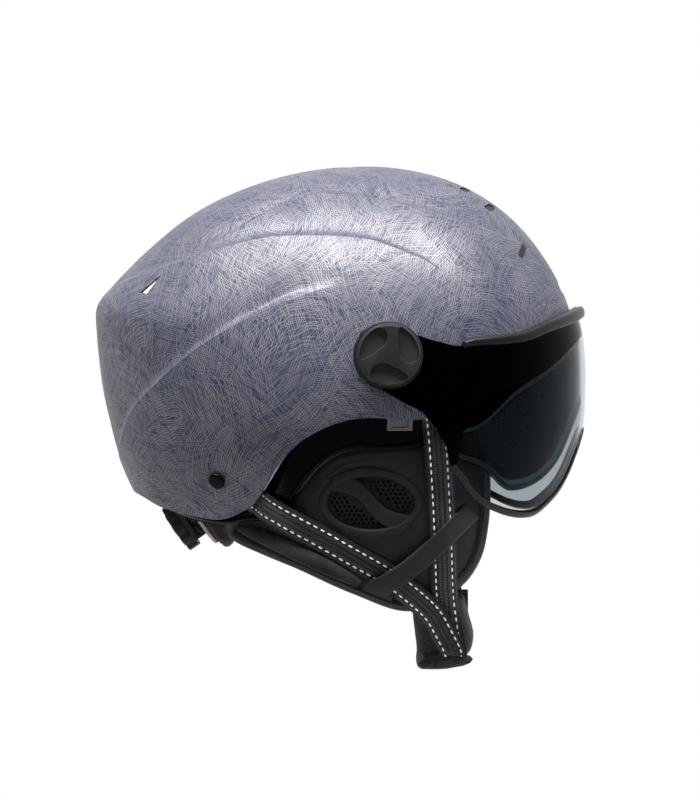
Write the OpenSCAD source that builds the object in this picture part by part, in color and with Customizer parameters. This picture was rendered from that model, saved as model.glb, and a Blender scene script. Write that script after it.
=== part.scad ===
// Open-face helmet with a lift-up visor, ear pads and a padded chin strap, in millimetres.
// +X is forward, +Y is the wearer's left and +Z is up. The origin is the middle of the head
// opening, level with the ears. Pieces named right lie at -Y; left ones are their mirror image.

/* [Shell] */
// Height of the shell's centre above the origin
centre_z = 60; // [58:0.5:62]
// Radius to the front, level with the centre
shell_front = 132; // [130:0.5:135]
// Radius to the back, level with the centre
shell_rear = 144; // [142:0.5:148]
// Radius to each side, level with the centre
shell_side = 109; // [107:0.5:113]
// Radius straight up
shell_top = 130.5; // [128:0.5:134]
// Wall of the moulded shell
shell_wall = 2.6; // [2.2:0.1:3]
// Depth of the grooves above the raised edge lines
groove_depth = 2.6; // [1:0.1:3]

/* [Foam liner] */
// Foam at the front, back and top
foam_thick = 28; // [24:0.5:30]
// Foam at the sides
foam_side = 24; // [20:0.5:26]
// Room between the shell and the foam
foam_gap = 0.3; // [0.2:0.05:0.5]
// Depth of the foam's relief for the chin straps
strap_relief = 3.6; // [3.2:0.1:5]

/* [Lower trim] */
// How far the trim lies inside the shell's outer face
trim_inset = 7.4; // [6.8:0.1:8]
// Wall of the trim
trim_wall = 1.8; // [1.2:0.1:2.2]

/* [Visor] */
// How far the visor stands off the shell at the front
visor_stand = 6; // [5.6:0.1:8]
// How far the visor stands off the shell at the sides
visor_stand_side = 7.5; // [7:0.1:9]
// Outer lens
lens_wall = 2; // [1.6:0.1:2.4]
// Inner lens
inner_wall = 1.1; // [0.8:0.1:1.3]
// Air gap between the lenses
lens_air = 1.3; // [1:0.1:1.5]
// Pivot, forward of the origin
pivot_x = 26; // [24:0.5:28]
// Pivot, above the origin
pivot_z = 82; // [80:0.5:84]
// Depth of the flat seat that is sunk in the shell at the pivot
seat_depth = 1.2; // [1:0.1:1.5]
// Radius of the visor's hub rings
hub_r = 18.9; // [18.5:0.1:19.6]
// Thickness of the hub rings
hub_thick = 5.4; // [5:0.1:6.5]
// How far the visor draws in beside its hubs
hub_dip = 2.65; // [2:0.1:3.2]
// Radius of the pivot bush
bush_r = 8; // [7:0.1:9]
// Radial play of the hub on the bush
bush_play = 0.06; // [0.03:0.01:0.09]
// Friction washer between the hub and its seat
washer_thick = 1; // [0.6:0.1:1.4]

/* [Knobs] */
// Radius of the knobs
knob_r = 17.5; // [16:0.1:18.5]
// Height of a knob
knob_h = 8.5; // [7.5:0.1:10]
// Lean of the knobs forward, square to the shell
knob_lean_forward = 6; // [3:0.5:7]
// Lean of the knobs upward
knob_lean_up = 4; // [1:0.5:5]
// Room between a knob and the hub ring below it
knob_gap = 0.5; // [0.3:0.1:1]
// Depth of the finger recesses in the knobs
recess_depth = 2.2; // [1.5:0.1:3]
// Radius of the knob screws
screw_r = 2.5; // [2:0.1:3]
// Play of the screws in their threads
screw_play = 0.05; // [0.02:0.01:0.09]

/* [Ear pads] */
// Moulded ear cover
cover_wall = 2.2; // [1.8:0.1:2.6]
// Ear cushion at its edge
cushion_thick = 11; // [9:0.5:13]
// Half length of the oval ear vent
vent_a = 24; // [22:0.5:27]
// Half height of the oval ear vent
vent_b = 14.5; // [13:0.5:16]
// Half width of the slanted bar across the vent
bar_w = 4.4; // [3.5:0.1:5.5]
// Distance between the holes of the mesh
mesh_pitch = 2.7; // [2.5:0.1:3.2]
// Holes of the mesh
mesh_hole = 1.7; // [1.3:0.1:1.9]
// Radius of the textile edge binding
binding_r = 3.2; // [2.6:0.1:3.6]
// Half width of the padded neck rolls
roll_r = 4.5; // [4:0.1:5]
// Half thickness of the padded neck rolls
roll_t = 3; // [2.4:0.1:3.6]

/* [Straps] */
// Width of the webbing
web_w = 15; // [13:0.5:16]
// Thickness of the webbing
web_t = 1.5; // [1.2:0.1:1.7]
// Room between a strap and the shell above it
strap_gap = 0.55; // [0.4:0.05:0.7]
// Radius of the rivet caps
rivet_r = 5; // [4.5:0.1:6]

/* [Size adjuster] */
// Height of the dial's centre, below the origin
dial_z = -17; // [-18:0.5:-16]
// Radius of the dial
dial_r = 15; // [13:0.5:16]
// Thickness of the dial
dial_h = 6.5; // [5.5:0.5:8]
// Teeth of the pinion
pinion_teeth = 10; // [10:1:12]
// Pitch radius of the pinion for each tooth, half the gear module
tooth_half = 0.5; // [0.5:0.05:0.55]

/* [Chin strap] */
// Width of the fleece chin pad
chin_pad_w = 34; // [30:0.5:36]
// Thickness of the buckle's tongue
tongue_t = 2.6; // [2.2:0.1:3]
// Play round the tongue in the buckle
tongue_play = 0.9; // [0.8:0.1:1.2]
// Travel of the release button
button_travel = 1.8; // [1.4:0.1:2]

/* [Hidden] */

// Columns round the shell and levels from its rim to its crown
SHELL_COLS = 52;
SHELL_ROWS = 15;
// Elevation at which the shell's rings stop, just short of the crown
CROWN_E = 87;

// Outward bulge of the shell against elevation, to the front, back and side
FRONT = [[-40, -6], [-30, -4], [0, 0], [20, 4], [34, 5], [48, 5.5], [62, 4], [76, 1], [90, -1.5]];
REAR = [[-40, -7], [-24, -5], [-16, -4], [-7, -2.7], [0, 0], [7, 3.4], [13.5, 8], [18.5, 11.6],
    [24, 7.5], [29, 3.5], [38, -2], [46, -5.2], [54, -8.2], [64, -11.4], [77, -13.4], [90, -13.5]];
SIDE = [[-40, -6], [-34, -5], [-20, -1.5], [-8, -0.2], [0, 0], [15, 2], [30, 5.5], [45, 10],
    [60, 15], [75, 19.7], [90, 21.5]];
// Elevation of the shell's lower rim against the angle from straight ahead
RIM = [[0, 17.9], [15, 15], [30, 9.1], [41.5, 3.8], [50.5, -3.5], [57, -5.8], [63.5, -6.4],
    [70, -7], [78.5, -6.5], [87, -6.9], [95.5, -9.7], [103, -14], [110, -20.5], [116.5, -27.7],
    [123, -33.5], [132, -36.5], [138.5, -36.8], [147, -34], [157.5, -30], [166.5, -26], [180, -24]];
// Elevations of the three raised edge lines against the angle from straight ahead
CREST_TOP = [[8, 22], [11, 26], [15, 36], [29, 43], [49, 53.5], [83, 63.5], [116, 62.6],
    [132, 50], [142, 41], [160, 30]];
CREST_MID = [[50, 30], [57, 34.5], [62, 38.5], [82, 46.4], [115, 46.5], [137, 39.2],
    [153, 31.2], [172, 23], [180, 21]];
CREST_LOW = [[85, 33], [97, 30.5], [109, 26], [129, 14], [145, 2.4], [154, -3.3], [167, -12.4],
    [180, -18]];
// How far the trim hangs below the shell's rim
DROP = [[0, 3], [35, 4], [48, 6], [56, 13], [63, 16.5], [70, 17.5], [78, 19], [87, 18.5],
    [95, 19], [103, 23.5], [110, 27], [116, 22], [123, 14], [132, 8], [147, 7], [165, 6], [180, 6]];
// Bulge of the visor against elevation, to the front and side
VISOR_FRONT = [[-40, -5.2], [-30, -2.6], [-10, -1], [0, -1.1], [6, -0.4], [15, 1.45],
    [25, 2]];
VISOR_SIDE = [[-40, -6.5], [-20, -2.5], [-8, -0.5], [0, 0], [15, 1.5], [30, 3.5]];
// Upper and lower edge of the visor against the angle from straight ahead
VISOR_TOP = [[0, 19.2], [7.5, 18.9], [27, 16.6], [39, 14.2], [54, 13.5], [58, 12.8],
    [65, 14.6], [70, 16], [75, 12], [81, 5]];
VISOR_LOW = [[0, -9.7], [4, -11], [7.5, -15.8], [8.5, -19.5], [10.5, -24], [14.5, -28],
    [18.5, -31], [23, -32], [28, -32.2], [34.5, -31.6], [43, -29.6], [49.5, -26.2], [54, -22.2],
    [57.5, -19], [59.5, -14.7], [62, -11], [65.5, -6.7], [68, -4.3], [72, -2.3], [76, -0.8],
    [81, 0.9]];
// Lower edge of the inner lens
INNER_LOW = [[0, 2], [8, 0], [13, -3], [15.5, -7], [17, -13], [19, -18.5], [23.5, -22.7],
    [28.5, -25], [34, -26], [37.5, -25.2], [41, -23.3], [45, -21], [50, -19], [56, -17.2],
    [59, -12]];
// How far the ear pads lie inside the shell's side radius, from back to front
SKIRT = [[-80, 65], [-63, 53.5], [-55, 46.3], [-43, 37.3], [-30, 25], [-15, 18.5], [5, 17],
    [30, 17.5], [45, 20.5], [55, 24], [63, 30], [71, 38], [80, 48]];
// Below this height the pads lean in under the jaw, by this much for each square millimetre
LEAN_Z = 10;
LEAN = 0.004;
// Ear pad in side view, X and Z, clockwise from the top front
EAR = [[66, 31], [77, 22], [78.5, 5], [77.5, -14], [73, -33], [61, -48], [36, -59], [6, -49],
    [-24, -35.5], [-46, -28], [-64, -20], [-60, -10], [-42, -4], [-26, 8], [-14, 22], [2, 31],
    [35, 34]];
EAR_MID = [22, -8];
// Webbing in side view: X, Z, height over the ear pad, and 1 where it lies under the shell,
// 0 where it is laid over the pad and -1 where it hangs free and flat.
// The left straps are shorter and end in the buckle.
FRONT_TOP = [[49, 67, 0, 1], [50, 56, 0, 1], [51, 48.5, 0, 1], [52.7, 31, 8.3, 0],
    [53.8, 13, 3.2, 0], [54.9, -9, 2.6, 0], [55.7, -31, 2.8, 0], [56.4, -53, 2.9, 0]];
FRONT_END = [[58.6, -72, 5.6, -1], [61.3, -87.4, 14, -1]];
FRONT_END_LEFT = [[56.9, -57.5, 3.4, -1], [57.1, -61.5, 4.6, -1]];
REAR_TOP = [[-80, 18, 0, 1], [-70, 12, 0, 1], [-61, 6.5, 0, 1], [-51, 1, 0, 1],
    [-43, -3.5, 12.4, 0], [-30, -10.5, 7.6, 0], [-14, -19, 2.8, 0], [5, -30, 2.6, 0],
    [23, -40.5, 3, 0], [35, -49.5, 4.7, 0]];
REAR_END = [[48.5, -62.5, 5.2, -0.5], [56, -76, 9.6, -1], [61, -87.6, 16.7, -1]];
REAR_END_LEFT = [[44.5, -55, 5, -0.5], [54, -61, 5.8, -1],
    [56.9, -64, 8.9, -1], [57.5, -67.2, 11.7, -1]];

// Smooth curve through a table of [x, y] rows
function find(t, x, i = 0) = i >= len(t) - 2 || x < t[i + 1][0] ? i : find(t, x, i + 1);
function slope(t, i) = let(a = max(i - 1, 0), b = min(i + 1, len(t) - 1))
    (t[b][1] - t[a][1]) / (t[b][0] - t[a][0]);
function curve(t, x) =
    let(q = min(max(x, t[0][0]), t[len(t) - 1][0]), i = find(t, q), h = t[i + 1][0] - t[i][0],
        u = (q - t[i][0]) / h, v = 1 - u)
    v * v * (1 + 2 * u) * t[i][1] + u * u * (3 - 2 * u) * t[i + 1][1]
    + u * v * v * h * slope(t, i) - u * u * v * h * slope(t, i + 1);
function blend(a, b, x) = let(u = min(max((x - a) / (b - a), 0), 1)) u * u * (3 - 2 * u);
function unit(v) = v / norm(v);
function total(v) = v * [for (x = v) 1];

// Smooth route through hand-set points, n points for each stretch
function route(p, n) = [for (i = [0:len(p) - 2], k = [0:n - 1])
    let(a = p[max(i - 1, 0)], b = p[i], c = p[i + 1], d = p[min(i + 2, len(p) - 1)], u = k / n)
    b + u * (c - a) / 2 + u * u * (a - 2.5 * b + 2 * c - 0.5 * d)
    + u * u * u * (1.5 * (b - c) + (d - a) / 2), p[len(p) - 1]];
function closed_route(p, n) = [for (i = [0:len(p) - 1], k = [0:n - 1])
    let(m = len(p), a = p[(i + m - 1) % m], b = p[i], c = p[(i + 1) % m], d = p[(i + 2) % m],
        u = k / n)
    b + u * (c - a) / 2 + u * u * (a - 2.5 * b + 2 * c - 0.5 * d)
    + u * u * u * (1.5 * (b - c) + (d - a) / 2)];

// The shell's outer surface, as a radius from its centre
function polar(phi, e, r) =
    [r * cos(e) * cos(phi), r * cos(e) * sin(phi), centre_z + r * sin(e)];
function reach(base, bulge, e) = base + curve(bulge, e)
    + (shell_top - base - curve(bulge, 90)) * pow(max(sin(e), 0), 4);
function oval(phi, along, side) =
    1 / sqrt(pow(cos(phi) / along, 2) + pow(sin(phi) / side, 2));
function plain(phi, e) = oval(phi, cos(phi) > 0 ? reach(shell_front, FRONT, e)
    : reach(shell_rear, REAR, e), reach(shell_side, SIDE, e));
function turn(phi) = abs(phi) > 180 ? 360 - abs(phi) : abs(phi);
function groove(line, q, e, back) = let(d = (e - curve(line, q)) * 2.3)
    d <= 0 ? 0 : blend(0, 4.5, d) * exp(-d / back);
function relief(phi, e) = let(q = turn(phi)) groove_depth * (
    groove(CREST_TOP, q, e, 14) * blend(8, 16, q) * (1 - blend(138, 158, q))
    + groove(CREST_MID, q, e, 20) * blend(50, 66, q) * (1 - blend(170, 179, q))
    + groove(CREST_LOW, q, e, 26) * blend(86, 112, q) * (1 - blend(172, 180, q)));
function shell_r(phi, e) = plain(phi, e) - relief(phi, e);
function rim_e(phi) = curve(RIM, turn(phi));
function visor_r(phi, e) = oval(phi, shell_front + visor_stand + curve(VISOR_FRONT, e),
    shell_side + visor_stand_side + curve(VISOR_SIDE, e)) - hub_dip * blend(62, 77, abs(phi));
// Half width of the shell at a place in side view, found by repeated substitution
function side_y(x, z, y = shell_side, n = 8) = n == 0 ? y :
    let(e = atan2(z - centre_z, norm([x, y])),
        along = x > 0 ? reach(shell_front, FRONT, e) : reach(shell_rear, REAR, e))
    side_y(x, z, reach(shell_side, SIDE, e) * sqrt(max(pow(cos(e), 2) - pow(x / along, 2), 0)),
        n - 1);
function skirt(x, z) = shell_side - curve(SKIRT, x) - LEAN * pow(max(LEAN_Z - z, 0), 2);

// Skin over a list of equal rings of points: closed in a loop, or shut at both ends
module skin(rings, loop = false, flip = false) {
    n = len(rings);
    m = len(rings[0]);
    mid = function(ring) [for (k = [0:2]) total([for (p = ring) p[k]]) / m];
    points = concat([for (r = rings) each r], loop ? [] : [mid(rings[0]), mid(rings[n - 1])]);
    faces = concat(
        [for (i = [0:n - (loop ? 1 : 2)], j = [0:m - 1])
            let(i2 = (i + 1) % n, j2 = (j + 1) % m,
                a = i * m + j, b = i * m + j2, c = i2 * m + j2, d = i2 * m + j)
            each flip ? [[a, b, d], [b, c, d]] : [[a, b, c], [a, c, d]]],
        loop ? [] : [for (j = [0:m - 1]) let(j2 = (j + 1) % m)
            each [[n * m, j2, j], [n * m + 1, (n - 1) * m + j, (n - 1) * m + j2]]]);
    volume = total([for (f = faces) cross(points[f[0]], points[f[1]]) * points[f[2]]]);
    polyhedron(points, volume > 0 ? [for (f = faces) [f[2], f[1], f[0]]] : faces, convexity = 8);
}
// Round or oval tube along a path; side is roughly the direction of its first radius
module tube(path, r1, r2, side, sides, loop = false, taper = 1) {
    n = len(path);
    skin([for (i = [0:n - 1])
        let(a = path[loop ? (i + n - 1) % n : max(i - 1, 0)],
            b = path[loop ? (i + 1) % n : min(i + 1, n - 1)],
            t = unit(b - a), v = unit(cross(t, side)), u = cross(v, t),
            s = taper + (1 - taper) * sqrt(sin(180 * (i + 0.3) / n)))
        [for (k = [0:sides - 1]) path[i] + s * r1 * cos(360 * k / sides) * u
            + s * r2 * sin(360 * k / sides) * v]], loop);
}
// Closed pad or plate from an outline in side view and the half width of its two faces
module pad(outline, mid, shares, outer, inner) {
    ring = function(s, face) [for (p = outline)
        let(q = mid + s * (p - mid)) [q[0], -face(q[0], q[1], s), q[1]]];
    m = len(shares) - 1;
    skin(concat([for (i = [0:m]) ring(shares[i], outer)],
        [for (i = [0:m]) ring(shares[m - i], inner)]));
}
// Outline moved inwards by d
function inset(p, d) = let(n = len(p)) [for (i = [0:n - 1])
    let(t = unit(p[(i + 1) % n] - p[(i + n - 1) % n])) p[i] + d * [t[1], -t[0]]];
module left() { mirror([0, 1, 0]) children(); }
module both() { children(); left() children(); }
// Frame square to the shell: the children's Z axis points outwards and their X axis down
function normal_at(phi, e) = let(p = function(a, b) polar(a, b, plain(a, b)))
    unit(cross(p(phi + 1, e) - p(phi - 1, e), p(phi, e + 1) - p(phi, e - 1)));
module on_shell(phi, e, depth = 0) {
    n = normal_at(phi, e);
    translate(polar(phi, e, shell_r(phi, e)) - depth * n)
        rotate([0, acos(n[2]), atan2(n[1], n[0])]) children();
}
module slot(length, width, height) {
    cube([width, length - width, height], center = true);
    for (s = [-1, 1]) translate([0, s * (length - width) / 2, 0])
        cylinder(h = height, d = width, center = true, $fn = 32);
}

// Vents
// Each row is the place on the shell, the twist, the length and the width of one slot
SLOT_VENTS = [[-20.3, 37.2, 58, 17, 4.2], [-12, 59.5, 80, 15, 5], [-15, 51.5, 76, 15, 5],
    [0, 26.2, 90, 24, 7]];
module each_slot(height, depth, gap) {
    for (v = SLOT_VENTS, s = v[0] == 0 ? [1] : [-1, 1])
        on_shell(s * v[0], v[1], depth) rotate([0, 0, s * (90 - v[2])])
            slot(v[3] - 2 * gap, v[4] - 2 * gap, height);
}
module rear_vents() {
    both() on_shell(-152.4, 26, 0) rotate([0, 0, 62])
        linear_extrude(12, center = true) polygon([[-2.6, -6], [2.4, -3.6], [0.6, 8.5]]);
}

// Pivot: seat on the shell, knob frame and screw frame
shell_y = side_y(pivot_x, pivot_z);
seat_y = shell_y - seat_depth;
hub_y = seat_y + washer_thick;
hub_top_y = hub_y + hub_thick;
knob_lean = norm([knob_lean_forward, knob_lean_up]);
knob_y = hub_top_y + knob_gap + knob_r * sin(knob_lean);
boss_y = seat_y - 9;
// Depth of the moulded disc behind the seat
seat_back = 6;
// Rivet of the rear strap, as a place on the shell
RIVET = [-131, -24];
module at_pivot(y) { translate([pivot_x, -y, pivot_z]) rotate([90, 0, 0]) children(); }
module lean() {
    translate([pivot_x, -knob_y, pivot_z]) rotate([90 - knob_lean_up, 0, knob_lean_forward])
        children();
}

module outer_shell() color([0.38, 0.41, 0.5]) {
    level = function(k, wall) [for (i = [0:SHELL_COLS - 1])
        let(phi = 360 * i / SHELL_COLS, e = rim_e(phi) + (CROWN_E - rim_e(phi)) * k / SHELL_ROWS)
        polar(phi, e, shell_r(phi, e) - wall)];
    difference() {
        union() {
            skin(concat([for (k = [0:SHELL_ROWS]) level(SHELL_ROWS - k, 0)],
                [for (k = [0:SHELL_ROWS]) level(k, shell_wall)]));
            both() {
                at_pivot(boss_y) cylinder(h = seat_y - boss_y, r = 9, $fn = 48);
                at_pivot(seat_y - seat_back) cylinder(h = seat_back, r = hub_r - 0.2, $fn = 96);
                // The shell stands proud of the seat toward the back, so its wall is backed there
                at_pivot(seat_y - shell_wall) intersection() {
                    cylinder(h = shell_wall, r = hub_r + 2.5, $fn = 96);
                    rotate(215) translate([4, -30, -1]) cube([30, 60, 10]);
                }
            }
        }
        both() {
            at_pivot(seat_y) cylinder(h = 20, r = hub_r + 0.6, $fn = 96);
            at_pivot(boss_y - 8) cylinder(h = 30, r = 6, $fn = 48);
            on_shell(RIVET[0], RIVET[1], 5) cylinder(h = 12, r = 2.2, $fn = 32);
        }
        each_slot(16, 0, 0);
        rear_vents();
        // Room for the front straps' anchors where they come near the seats' backing
        both() front_anchor(anchor_play);
    }
}
function foam_depth(phi, e) = shell_wall + foam_gap
    + strap_relief * (1 - blend(7, 17, e)) * blend(48, 56, turn(phi))
    * (1 - blend(143, 152, turn(phi)));
function foam_in(phi, e) = shell_r(phi, e) + relief(phi, e) - shell_wall - foam_thick
    + (foam_thick - foam_side) * pow(cos(e) * sin(phi), 2);
module foam_liner() color([0.9, 0.9, 0.88]) {
    level = function(k, fn) [for (i = [0:SHELL_COLS - 1])
        let(phi = 360 * i / SHELL_COLS, e = rim_e(phi) + (CROWN_E - rim_e(phi)) * k / SHELL_ROWS)
        polar(phi, e, fn(phi, e))];
    difference() {
        skin(concat([for (k = [0:SHELL_ROWS - 1])
                level(SHELL_ROWS - k, function(phi, e) shell_r(phi, e) - foam_depth(phi, e))],
            [for (k = [1:2:SHELL_ROWS]) level(k, function(phi, e) foam_in(phi, e))]), flip = true);
        both() {
            at_pivot(boss_y - 8) cylinder(h = 30, r = 12, $fn = 48);
            at_pivot(seat_y - seat_back - 0.4) cylinder(h = 30, r = hub_r + 3, $fn = 96);
        }
        hangers(0.4);
    }
}
module lower_trim() color([0.03, 0.03, 0.035]) {
    skin([for (i = [0:SHELL_COLS - 1])
        let(phi = 360 * i / SHELL_COLS, e = rim_e(phi), r = shell_r(phi, e),
            drop = curve(DROP, turn(phi)),
            top = function(w) polar(phi, e + 3.4, r - trim_inset - 0.4 - w),
            rim = function(w) polar(phi, e, r - trim_inset - w),
            low = function(w, s) rim(w) - s * drop * [0.12 * cos(phi), 0.12 * sin(phi), 1])
        [top(0), rim(0), low(0, 0.55), low(0, 1), low(trim_wall, 1), low(trim_wall, 0.55),
            rim(trim_wall), top(trim_wall)]], true);
}
module vent_grilles() color([0.05, 0.05, 0.05]) {
    each_slot(1.6, 1.7, 0.3);
}
module strap_rivets() color([0.02, 0.02, 0.02]) {
    both() on_shell(RIVET[0], RIVET[1], 0) {
        translate([0, 0, 0.4]) cylinder(h = 2.3, r = rivet_r, $fn = 48);
        translate([0, 0, -6]) cylinder(h = 7, r = 2, $fn = 32);
    }
}
module pivot_bushes() color([0.5, 0.5, 0.52]) {
    both() at_pivot(seat_y) difference() {
        cylinder(h = washer_thick + hub_thick + 0.2, r = bush_r, $fn = 64);
        translate([0, 0, -1]) cylinder(h = 20, r = bush_r - 2.6, $fn = 48);
    }
}
module pivot_washers() color([0.9, 0.9, 0.85]) {
    both() at_pivot(seat_y) difference() {
        cylinder(h = washer_thick, r = hub_r - 3, $fn = 64);
        translate([0, 0, -1]) cylinder(h = 4, r = bush_r + bush_play, $fn = 64);
    }
}
module screw_axis(r, from, to) {
    lean() translate([0, 0, from]) cylinder(h = to - from, r = r, $fn = 48);
}
insert_h = 5;
module pivot_inserts() color([0.75, 0.6, 0.3]) {
    both() difference() {
        at_pivot(boss_y - insert_h) cylinder(h = insert_h, r = 8.6, $fn = 48);
        screw_axis(screw_r + screw_play, -60, 0);
    }
}

// Comfort padding: plain crowned pads on the foam's inner face
pad_gap = 1.1;
module foam_pad(phi0, phi1, e0, e1, thick, cols, rows) {
    ring = function(i) let(u = i / cols, phi = phi0 + (phi1 - phi0) * u) concat(
        [for (k = [0:rows]) let(v = k / rows, e = e0 + (e1 - e0) * v)
            polar(phi, e, foam_in(phi, e) - pad_gap)],
        [for (k = [0:rows]) let(v = 1 - k / rows, e = e0 + (e1 - e0) * v)
            polar(phi, e, foam_in(phi, e) - pad_gap - thick * (0.35 + 0.65 * sin(180 * v)
                * pow(sin(180 * min(max(u, 0.06), 0.94)), 0.4)))]);
    skin([for (i = [0:cols]) ring(i)]);
}
module brow_pad() color([0.1, 0.1, 0.11]) { foam_pad(-48, 48, 24, 40, 7, 14, 5); }
module side_pads() color([0.1, 0.1, 0.11]) { both() foam_pad(-112, -66, 8, 30, 6, 8, 5); }
module crown_pad() color([0.1, 0.1, 0.11]) {
    level = function(e, fn) [for (i = [0:23]) let(phi = 15 * i) polar(phi, e, fn(phi, e))];
    top = function(phi, e) foam_in(phi, e) - pad_gap;
    low = function(phi, e) foam_in(phi, e) - pad_gap - 7 * (0.3 + 0.7 * sin(e - 66) / sin(24));
    skin([level(86, top), level(80, top), level(73, top), level(66, top),
        level(66, low), level(73, low), level(80, low), level(86, low)]);
}

// Ear pads
ear_line = closed_route(EAR, 2);
module vent_oval(grow, depth) {
    rotate([90, 0, 0]) linear_extrude(depth, center = true)
        polygon([for (k = [0:39]) [EAR_VENT[0] + (vent_a + grow) * cos(9 * k),
            EAR_VENT[1] + (vent_b + grow) * sin(9 * k)]]);
}
// Middle of the ear vent in side view, and the slope of its bar
EAR_VENT = [15.5, 0];
BAR_SLOPE = -37.5;
function bar_point(s, side) = let(a = BAR_SLOPE, w = side * bar_w + 4.2 * sin(s * 7.2))
    EAR_VENT + [s * cos(a) - w * sin(a), s * sin(a) + w * cos(a)];
module vent_bar(depth) {
    rotate([90, 0, 0]) linear_extrude(depth, center = true)
        polygon(concat([for (s = [-32:4:32]) bar_point(s, -1)],
            [for (s = [-32:4:32]) bar_point(-s, 1)]));
}
module ear_cover_right() color([0.13, 0.13, 0.14]) {
    difference() {
        pad(inset(ear_line, binding_r + 0.4), EAR_MID, [0.3, 0.65, 0.9, 1],
            function(x, z, s) skirt(x, z), function(x, z, s) skirt(x, z) - cover_wall);
        translate([0, -shell_side, 0]) difference() {
            vent_oval(0, 100);
            vent_bar(120);
        }
    }
}
mesh_y = shell_side - 24.2;
module ear_mesh_right() color([0.05, 0.05, 0.05]) {
    translate([0, -mesh_y, 0]) rotate([90, 0, 0]) difference() {
        linear_extrude(1.2) polygon([for (k = [0:39])
            EAR_VENT + [(vent_a + 2.5) * cos(9 * k), (vent_b + 2.5) * sin(9 * k)]]);
        for (i = [-9:9], j = [-6:6]) let(x = mesh_pitch * (i + (j % 2 == 0 ? 0 : 0.5)),
            z = mesh_pitch * j * 0.87,
            off = x * sin(-BAR_SLOPE) + z * cos(BAR_SLOPE))
            if (norm([x / (vent_a - 1.5), z / (vent_b - 1.5)]) < 1 && abs(off) > bar_w + 2.4)
                translate([EAR_VENT[0] + x, EAR_VENT[1] + z, -1])
                    cylinder(h = 4, d = mesh_hole, $fn = 16);
    }
}
module ear_pad_right() color([0.08, 0.08, 0.09]) {
    pad(inset(ear_line, binding_r + 0.6), EAR_MID, [0.3, 0.65, 0.9, 1],
        function(x, z, s) skirt(x, z) - cover_wall - 0.5 - 10.2 * (1 - s * s),
        function(x, z, s) skirt(x, z) - cover_wall - 4
            - cushion_thick * pow(1 - pow(s, 4), 0.5) * (0.9 + 0.25 * s));
}
module ear_binding_right() color([0.1, 0.1, 0.1]) {
    tube([for (p = ear_line) [p[0], -skirt(p[0], p[1]) + 4.2, p[1]]],
        5, binding_r, [0, -1, 0.01], 5, true);
}
module ear_pad_clips() color([0.1, 0.1, 0.11]) {
    both() on_shell(-72.5, -8.6, trim_inset - 1.9) difference() {
        cube([8, 14, 3], center = true);
        translate([0.4, 0, 1.4]) cube([4.4, 10, 1.6], center = true);
    }
}
module neck_roll_right() color([0.08, 0.08, 0.09]) {
    tube([for (p = route([[-60, -16], [-46, -20.8], [-30, -26.6], [-14, -33.6], [0, -40.6],
            [9, -45.4]], 3)) [p[0], -skirt(p[0], p[1]) - roll_t - 1, p[1]]],
        roll_t, roll_r, [0, -1, 0.01], 10, taper = 0.4);
}
module nape_band() color([0.07, 0.07, 0.08]) {
    // Rings of four points: under the trim's inner face, 2.2 thick, following its lean
    ring = function(phi) let(e = rim_e(phi), r = shell_r(phi, e) - trim_inset - trim_wall - 0.6,
        low = curve(DROP, turn(phi)) + 3.5)
        [for (q = [[0, -6], [0, low], [2.2, low], [2.2, -6]]) polar(phi, e, r - q[0])
            - [0.12 * max(q[1], 0) * cos(phi), 0.12 * max(q[1], 0) * sin(phi), q[1]]];
    skin([for (k = [0:14]) ring(147 + 66 * k / 14)]);
}

// Webbing: half width of its outer face at q, for the path point p
function under_shell(x, z) = let(y = side_y(x, z), gx = side_y(x + 1, z) - y,
    gz = side_y(x, z + 1) - y) y - (shell_wall + strap_gap) * norm([1, gx, gz]);
function web_y(q, p) = let(u = min(max(p[3] * 1.1 - 0.1, 0), 1),
    flat = min(max(-p[3] * 1.1 - 0.1, 0), 1))
    u * under_shell(q[0], q[1])
    + (1 - u) * ((1 - flat) * skirt(q[0], q[1]) + flat * skirt(p[0], q[1]) + p[2]);
module webbing(points, width, stretch) {
    path = route(points, stretch);
    n = len(path);
    skin([for (i = [0:n - 1])
        let(p = path[i], t = path[min(i + 1, n - 1)] - path[max(i - 1, 0)],
            across = unit([t[1], -t[0]]),
            edge = [for (k = [-1, 0, 1]) [p[0], p[1]] + k * width / 2 * across])
        concat([for (q = edge) [q[0], -web_y(q, p), q[1]]],
            [for (k = [2, 1, 0]) [edge[k][0], web_t - web_y(edge[k], p), edge[k][1]]])]);
}
module strap_front_right() color([0.06, 0.06, 0.07]) webbing(concat(FRONT_TOP, FRONT_END), web_w, 2);
module strap_front_left() color([0.06, 0.06, 0.07])
    left() webbing(concat(FRONT_TOP, FRONT_END_LEFT), web_w, 2);
module strap_rear(points) color([0.06, 0.06, 0.07]) difference() {
    webbing(points, web_w, 2);
    on_shell(RIVET[0], RIVET[1], 10) cylinder(h = 12, r = 2.2, $fn = 32);
}
module keeper_right() color([0.12, 0.12, 0.12]) {
    webbing([[17, -52, 7.2, 0], [24, -46.5, 8.4, 0], [33, -38.5, 7.2, 0], [46, -27, 5.2, 0],
        [58, -17, 5, 0], [69, -8.5, 3.4, 0]], 9, 2);
}
// Depth of the anchors' outer face, below the webbing
anchor_depth = shell_wall + strap_gap + web_t + 0.6;
anchor_play = 0.15;
module front_anchor(grow) {
    on_shell(-63.4, 4.2, anchor_depth) translate([-3.5 - grow, -8.5 - grow, -1.2 - grow])
        cube([7 + 2 * grow, 17 + 2 * grow, 1.2 + 2 * grow]);
}
module strap_anchors() color([0.3, 0.3, 0.32]) {
    both() {
        front_anchor(0);
        on_shell(RIVET[0], RIVET[1], anchor_depth) difference() {
            translate([0, 0, -0.9]) cylinder(h = 0.9, r = 6, $fn = 32);
            translate([0, 0, -3]) cylinder(h = 4, r = 2.1, $fn = 32);
        }
    }
}

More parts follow.
